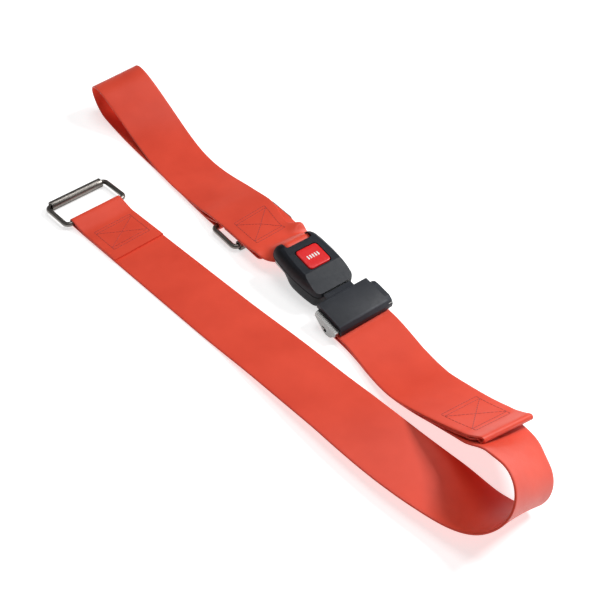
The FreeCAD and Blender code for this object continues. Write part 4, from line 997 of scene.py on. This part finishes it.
# plain raised bars across the button's face
marks_v, marks_f = [], []
for i in range(5):
    v0 = -5.6 + i * 2.45
    o = rounded_outline([(-1.9, v0), (1.9, v0), (1.9, v0 + 1.25), (-1.9, v0 + 1.25)], 0.5, 3)
    n = len(o)
    b = len(marks_v)
    for w, k in ((23.3, 1.0), (23.62, 1.0), (23.72, 0.86)):
        cu, cv = 0.0, v0 + 0.625
        marks_v += [bk(cu + (u - cu) * k, cv + (v - cv) * k, w) for u, v in o]
    for lv in range(2):
        for j in range(n):
            k2 = (j + 1) % n
            marks_f.append((b + lv * n + j, b + lv * n + k2, b + (lv + 1) * n + k2, b + (lv + 1) * n + j))
    marks_f.append(tuple(b + 2 * n + j for j in range(n)))
    marks_f.append(tuple(b + j for j in reversed(range(n))))
marks = mesh_object("button_marks", marks_v, marks_f, "mark_plastic", True, 40.0)
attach(marks, "button")

# ------------------------------------------------------------ tongue cover
cover_prof = [(37.6, 14.0), (37.6, 17.4), (38.6, 18.4), (63.3, 18.4), (65.2, 17.6), (67.6, 14.5), (68.0, 10.7), (66.2, 10.7), (66.2, 14.0)]
cover = side_prism("tongue_cover_shell", cover_prof, -24.4, 24.4, "cover_plastic")
boolean(cover, prism("cut_pocket", [(40, -22.4), (61, -22.4), (61, 22.4), (40, 22.4)], 13.0, 16.4, "cover_plastic"))
neck = prism("cover_neck", rounded_outline([(31.9, -13.6), (40, -13.6), (40, 13.6), (31.9, 13.6)], 0.8, 3), 10.9, 15.6, "cover_plastic")
boolean(neck, prism("cut_neck", [(30, -12.1), (37.0, -12.1), (37.0, 12.1), (30, 12.1)], 10.0, 14.05, "cover_plastic"))
boolean(neck, prism("cut_neck2", [(36.9, -20), (45, -20), (45, 20), (36.9, 20)], 10.0, 14.02, "cover_plastic"))
boolean(cover, neck, "UNION")
cap = side_prism("cover_end_cap", [(41.0, 10.7), (41.0, 14.2), (43.4, 16.6), (47.6, 17.5), (60.8, 17.5), (64.6, 15.4), (66.6, 12.2), (66.6, 8.4), (62.0, 8.4), (60.0, 10.7)], 23.6, 29.4, "cover_plastic")
boolean(cover, cap, "UNION")
bevel(cover, 0.7, 3, 25.0, 30.0)
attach(cover, "tongue_half")
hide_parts("tongue_cover")


# --------------------------------------------------------- round metalwork
def tube_mesh(name, pts, r, mat, seg=24, closed=False, caps=True, body_shift=True):
    """round bar swept along points (mm), rings turned to follow the path"""
    pts = np.array(pts, float)
    n = len(pts)
    if closed:
        T = unit(np.roll(pts, -1, 0) - np.roll(pts, 1, 0))
    else:
        T = unit(np.gradient(pts, axis=0))
    ref = np.array([0.0, 0.0, 1.0]) if abs(T[0][2]) < 0.9 else np.array([1.0, 0.0, 0.0])
    verts, faces = [], []
    rr = r if hasattr(r, "__len__") else [r] * n
    for i in range(n):
        a = unit(np.cross(T[i], ref))
        b = np.cross(a, T[i])
        for j in range(seg):
            t = 2 * math.pi * j / seg
            verts.append(pts[i] + rr[i] * (a * math.cos(t) + b * math.sin(t)))
    m = n if closed else n - 1
    for i in range(m):
        q = (i + 1) % n
        for j in range(seg):
            k = (j + 1) % seg
            faces.append((i * seg + j, i * seg + k, q * seg + k, q * seg + j))
    if not closed and caps:
        faces.append(tuple(reversed(range(seg))))
        faces.append(tuple((n - 1) * seg + j for j in range(seg)))
    return mesh_object(name, verts, faces, mat, True, 40.0)


def ring_path(bar, away, across, half=RING_L / 2, width=RING_W, r=4.5):
    """closed rounded rectangle; bar is the fixed bar's centre, away points to the roller bar"""
    out = []
    for cx, cy, a0 in ((r, half - r, 90), (r, -half + r, 180), (width - r, -half + r, 270), (width - r, half - r, 0)):
        for k in range(9):
            a = math.radians(a0 + 90 * k / 8) if True else 0
            out.append(bar + away * (cx + r * math.cos(a)) + across * (cy + r * math.sin(a)))
    dense_pts = []
    for i, p in enumerate(out):
        q = out[(i + 1) % len(out)]
        d = np.linalg.norm(q - p)
        k = max(1, int(d / 3.0))
        for j in range(k):
            dense_pts.append(p + (q - p) * j / k)
    return dense_pts


def roller_mesh(name, centre, across, out_dir, r0=3.2, r1=4.4, length=53.0, seam=160.0):
    """sheet rolled round the outer bar, with an open seam and soft lips"""
    up_ = np.array([0.0, 0.0, 1.0])
    prof = []
    seg = 56
    gap = math.radians(4.2)
    a0 = math.radians(seam) + gap
    a1 = math.radians(seam) + 2 * math.pi - gap
    for k in range(seg + 1):
        a = a0 + (a1 - a0) * k / seg
        prof.append((r1 * math.cos(a), r1 * math.sin(a)))
    for k in range(seg, -1, -1):
        a = a0 + (a1 - a0) * k / seg
        prof.append((r0 * math.cos(a), r0 * math.sin(a)))
    verts, faces = [], []
    n = len(prof)
    stations = [(-length / 2, 0.30), (-length / 2 + 0.12, 0.10), (-length / 2 + 0.4, 0.0)] + \
               [(-length / 2 + length * k / 10, 0.0) for k in range(1, 10)] + [(length / 2 - 0.4, 0.0), (length / 2 - 0.12, 0.10), (length / 2, 0.30)]
    for y, ins in stations:
        for i, (a, b) in enumerate(prof):
            k = 1 - ins / r1 if i <= seg else 1 + ins / r0
            verts.append(centre + across * y + out_dir * (a * k) + up_ * (b * k))
    for s in range(len(stations) - 1):
        for i in range(n):
            j = (i + 1) % n
            faces.append((s * n + i, s * n + j, (s + 1) * n + j, (s + 1) * n + i))
    for base, flip in ((0, True), ((len(stations) - 1) * n, False)):
        for i in range(seg):
            f = (base + i, base + i + 1, base + n - 2 - i, base + n - 1 - i)
            faces.append(tuple(reversed(f)) if flip else f)
    return mesh_object(name, verts, faces, "ring_nickel", True, 38.0)


bar_a = P0 + E * BAR_A_S + UPZ * RING_Z + SHIFT
ra_ob = tube_mesh("ring_a_wire", ring_path(bar_a, -E, NL), 2.25, "ring_nickel", closed=True)
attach(ra_ob, "ring_a_loop")
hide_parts("ring_a")
rol_a = roller_mesh("ring_a_sleeve", bar_a - E * RING_W, NL, -E, seam=20.0 + 180)
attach(rol_a, "ring_a_roller")
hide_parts("roller_a")
bar_b = np.array([BXB, BYB + 0.6, RING_Z]) + SHIFT
XV, YV = np.array([1.0, 0, 0]), np.array([0, 1.0, 0])
rb_ob = tube_mesh("ring_b_wire", ring_path(bar_b, XV, YV), 2.25, "ring_nickel", closed=True)
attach(rb_ob, "ring_b_loop")
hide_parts("ring_b")
rol_b = roller_mesh("ring_b_sleeve", bar_b + XV * RING_W, YV, XV, seam=20.0)
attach(rol_b, "ring_b_roller")
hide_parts("roller_b")

# knurled lock bar of the adjuster
kn_v, kn_f = [], []
seg, rows = 48, 132
bar_len = 25.8
for i in range(rows + 1):
    y = -bar_len + 2 * bar_len * i / rows
    for j in range(seg):
        a = 2 * math.pi * j / seg
        kn = 0.5 + 0.5 * math.cos(12 * a + y * 2.6)
        kn2 = 0.5 + 0.5 * math.cos(12 * a - y * 2.6)
        rr = 2.82 + 0.18 * min(kn, kn2) ** 0.5 if 0 < i < rows else 2.6
        kn_v.append(bk(52.0 + rr * math.cos(a), y, 6.46 + rr * math.sin(a)))
for i in range(rows):
    for j in range(seg):
        k = (j + 1) % seg
        kn_f.append((i * seg + j, i * seg + k, (i + 1) * seg + k, (i + 1) * seg + j))
kn_f.append(tuple(reversed(range(seg))))
kn_f.append(tuple(rows * seg + j for j in range(seg)))
for sg in (-1, 1):
    b = len(kn_v)
    for y, rr in ((25.6, 1.6), (28.8, 1.6), (29.15, 1.3)):
        for j in range(24):
            a = 2 * math.pi * j / 24
            kn_v.append(bk(52.0 + rr * math.cos(a), sg * y, 6.46 + rr * math.sin(a)))
    for i in range(2):
        for j in range(24):
            k = (j + 1) % 24
            kn_f.append((b + i * 24 + j, b + i * 24 + k, b + (i + 1) * 24 + k, b + (i + 1) * 24 + j))
    kn_f.append(tuple(b + j for j in range(24)))
    kn_f.append(tuple(b + 48 + j for j in range(24)))
knurl = mesh_object("lock_bar_knurled", kn_v, kn_f, "zinc_plated_steel", True, 45.0)
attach(knurl, "adjuster_bar")
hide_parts("lock_bar")

# --------------------------------------------------------- floor and lights
me = bpy.data.meshes.new("floor")
me.from_pydata([(-4, -4, -0.0002), (4, -4, -0.0002), (4, 4, -0.0002), (-4, 4, -0.0002)], [], [(0, 1, 2, 3)])
floor = link(bpy.data.objects.new("floor", me))
m, t, b = nt_new("pale_floor")
obj = node(t, "ShaderNodeTexCoord").outputs["Object"]
t.links.new(ramp(t, noise(t, obj, 3.0, 2.0), [(0.3, (0.72, 0.72, 0.72)), (0.7, (0.75, 0.75, 0.75))]), b.inputs["Base Color"])
b.inputs["Roughness"].default_value = 0.7
b.inputs["Specular IOR Level"].default_value = 0.2
b.inputs["Emission Color"].default_value = (1, 1, 1, 1)
b.inputs["Emission Strength"].default_value = 0.62
me.materials.append(m)


def area_light(name, pos, target, size, power, color=(1, 1, 1)):
    ld = bpy.data.lights.new(name, "AREA")
    ld.shape = "RECTANGLE"
    ld.size, ld.size_y = size
    ld.energy = power
    ld.color = color
    ob = link(bpy.data.objects.new(name, ld))
    d = Vector(target) - Vector(pos)
    ob.matrix_world = Matrix.Translation(Vector(pos)) @ d.to_track_quat("-Z", "Y").to_matrix().to_4x4()
    return ob


area_light("key", (0.34, 1.02, 1.00), (0.06, 0.0, 0.0), (0.36, 0.36), 17.0)
area_light("fill", (-0.5, -0.9, 1.1), (0.0, 0.0, 0.0), (1.0, 1.0), 0.4)
area_light("top", (-0.10, 0.35, 1.55), (-0.05, 0.0, 0.0), (0.7, 0.7), 7.2)
world = bpy.data.worlds.new("world")
bpy.context.scene.world = world
world.use_nodes = True
bg = world.node_tree.nodes["Background"]
bg.inputs["Color"].default_value = (1, 1, 1, 1)
bg.inputs["Strength"].default_value = 0.19
bpy.context.scene.view_settings.view_transform = "Standard"
bpy.context.scene.view_settings.look = "None"

bpy.context.view_layer.update()
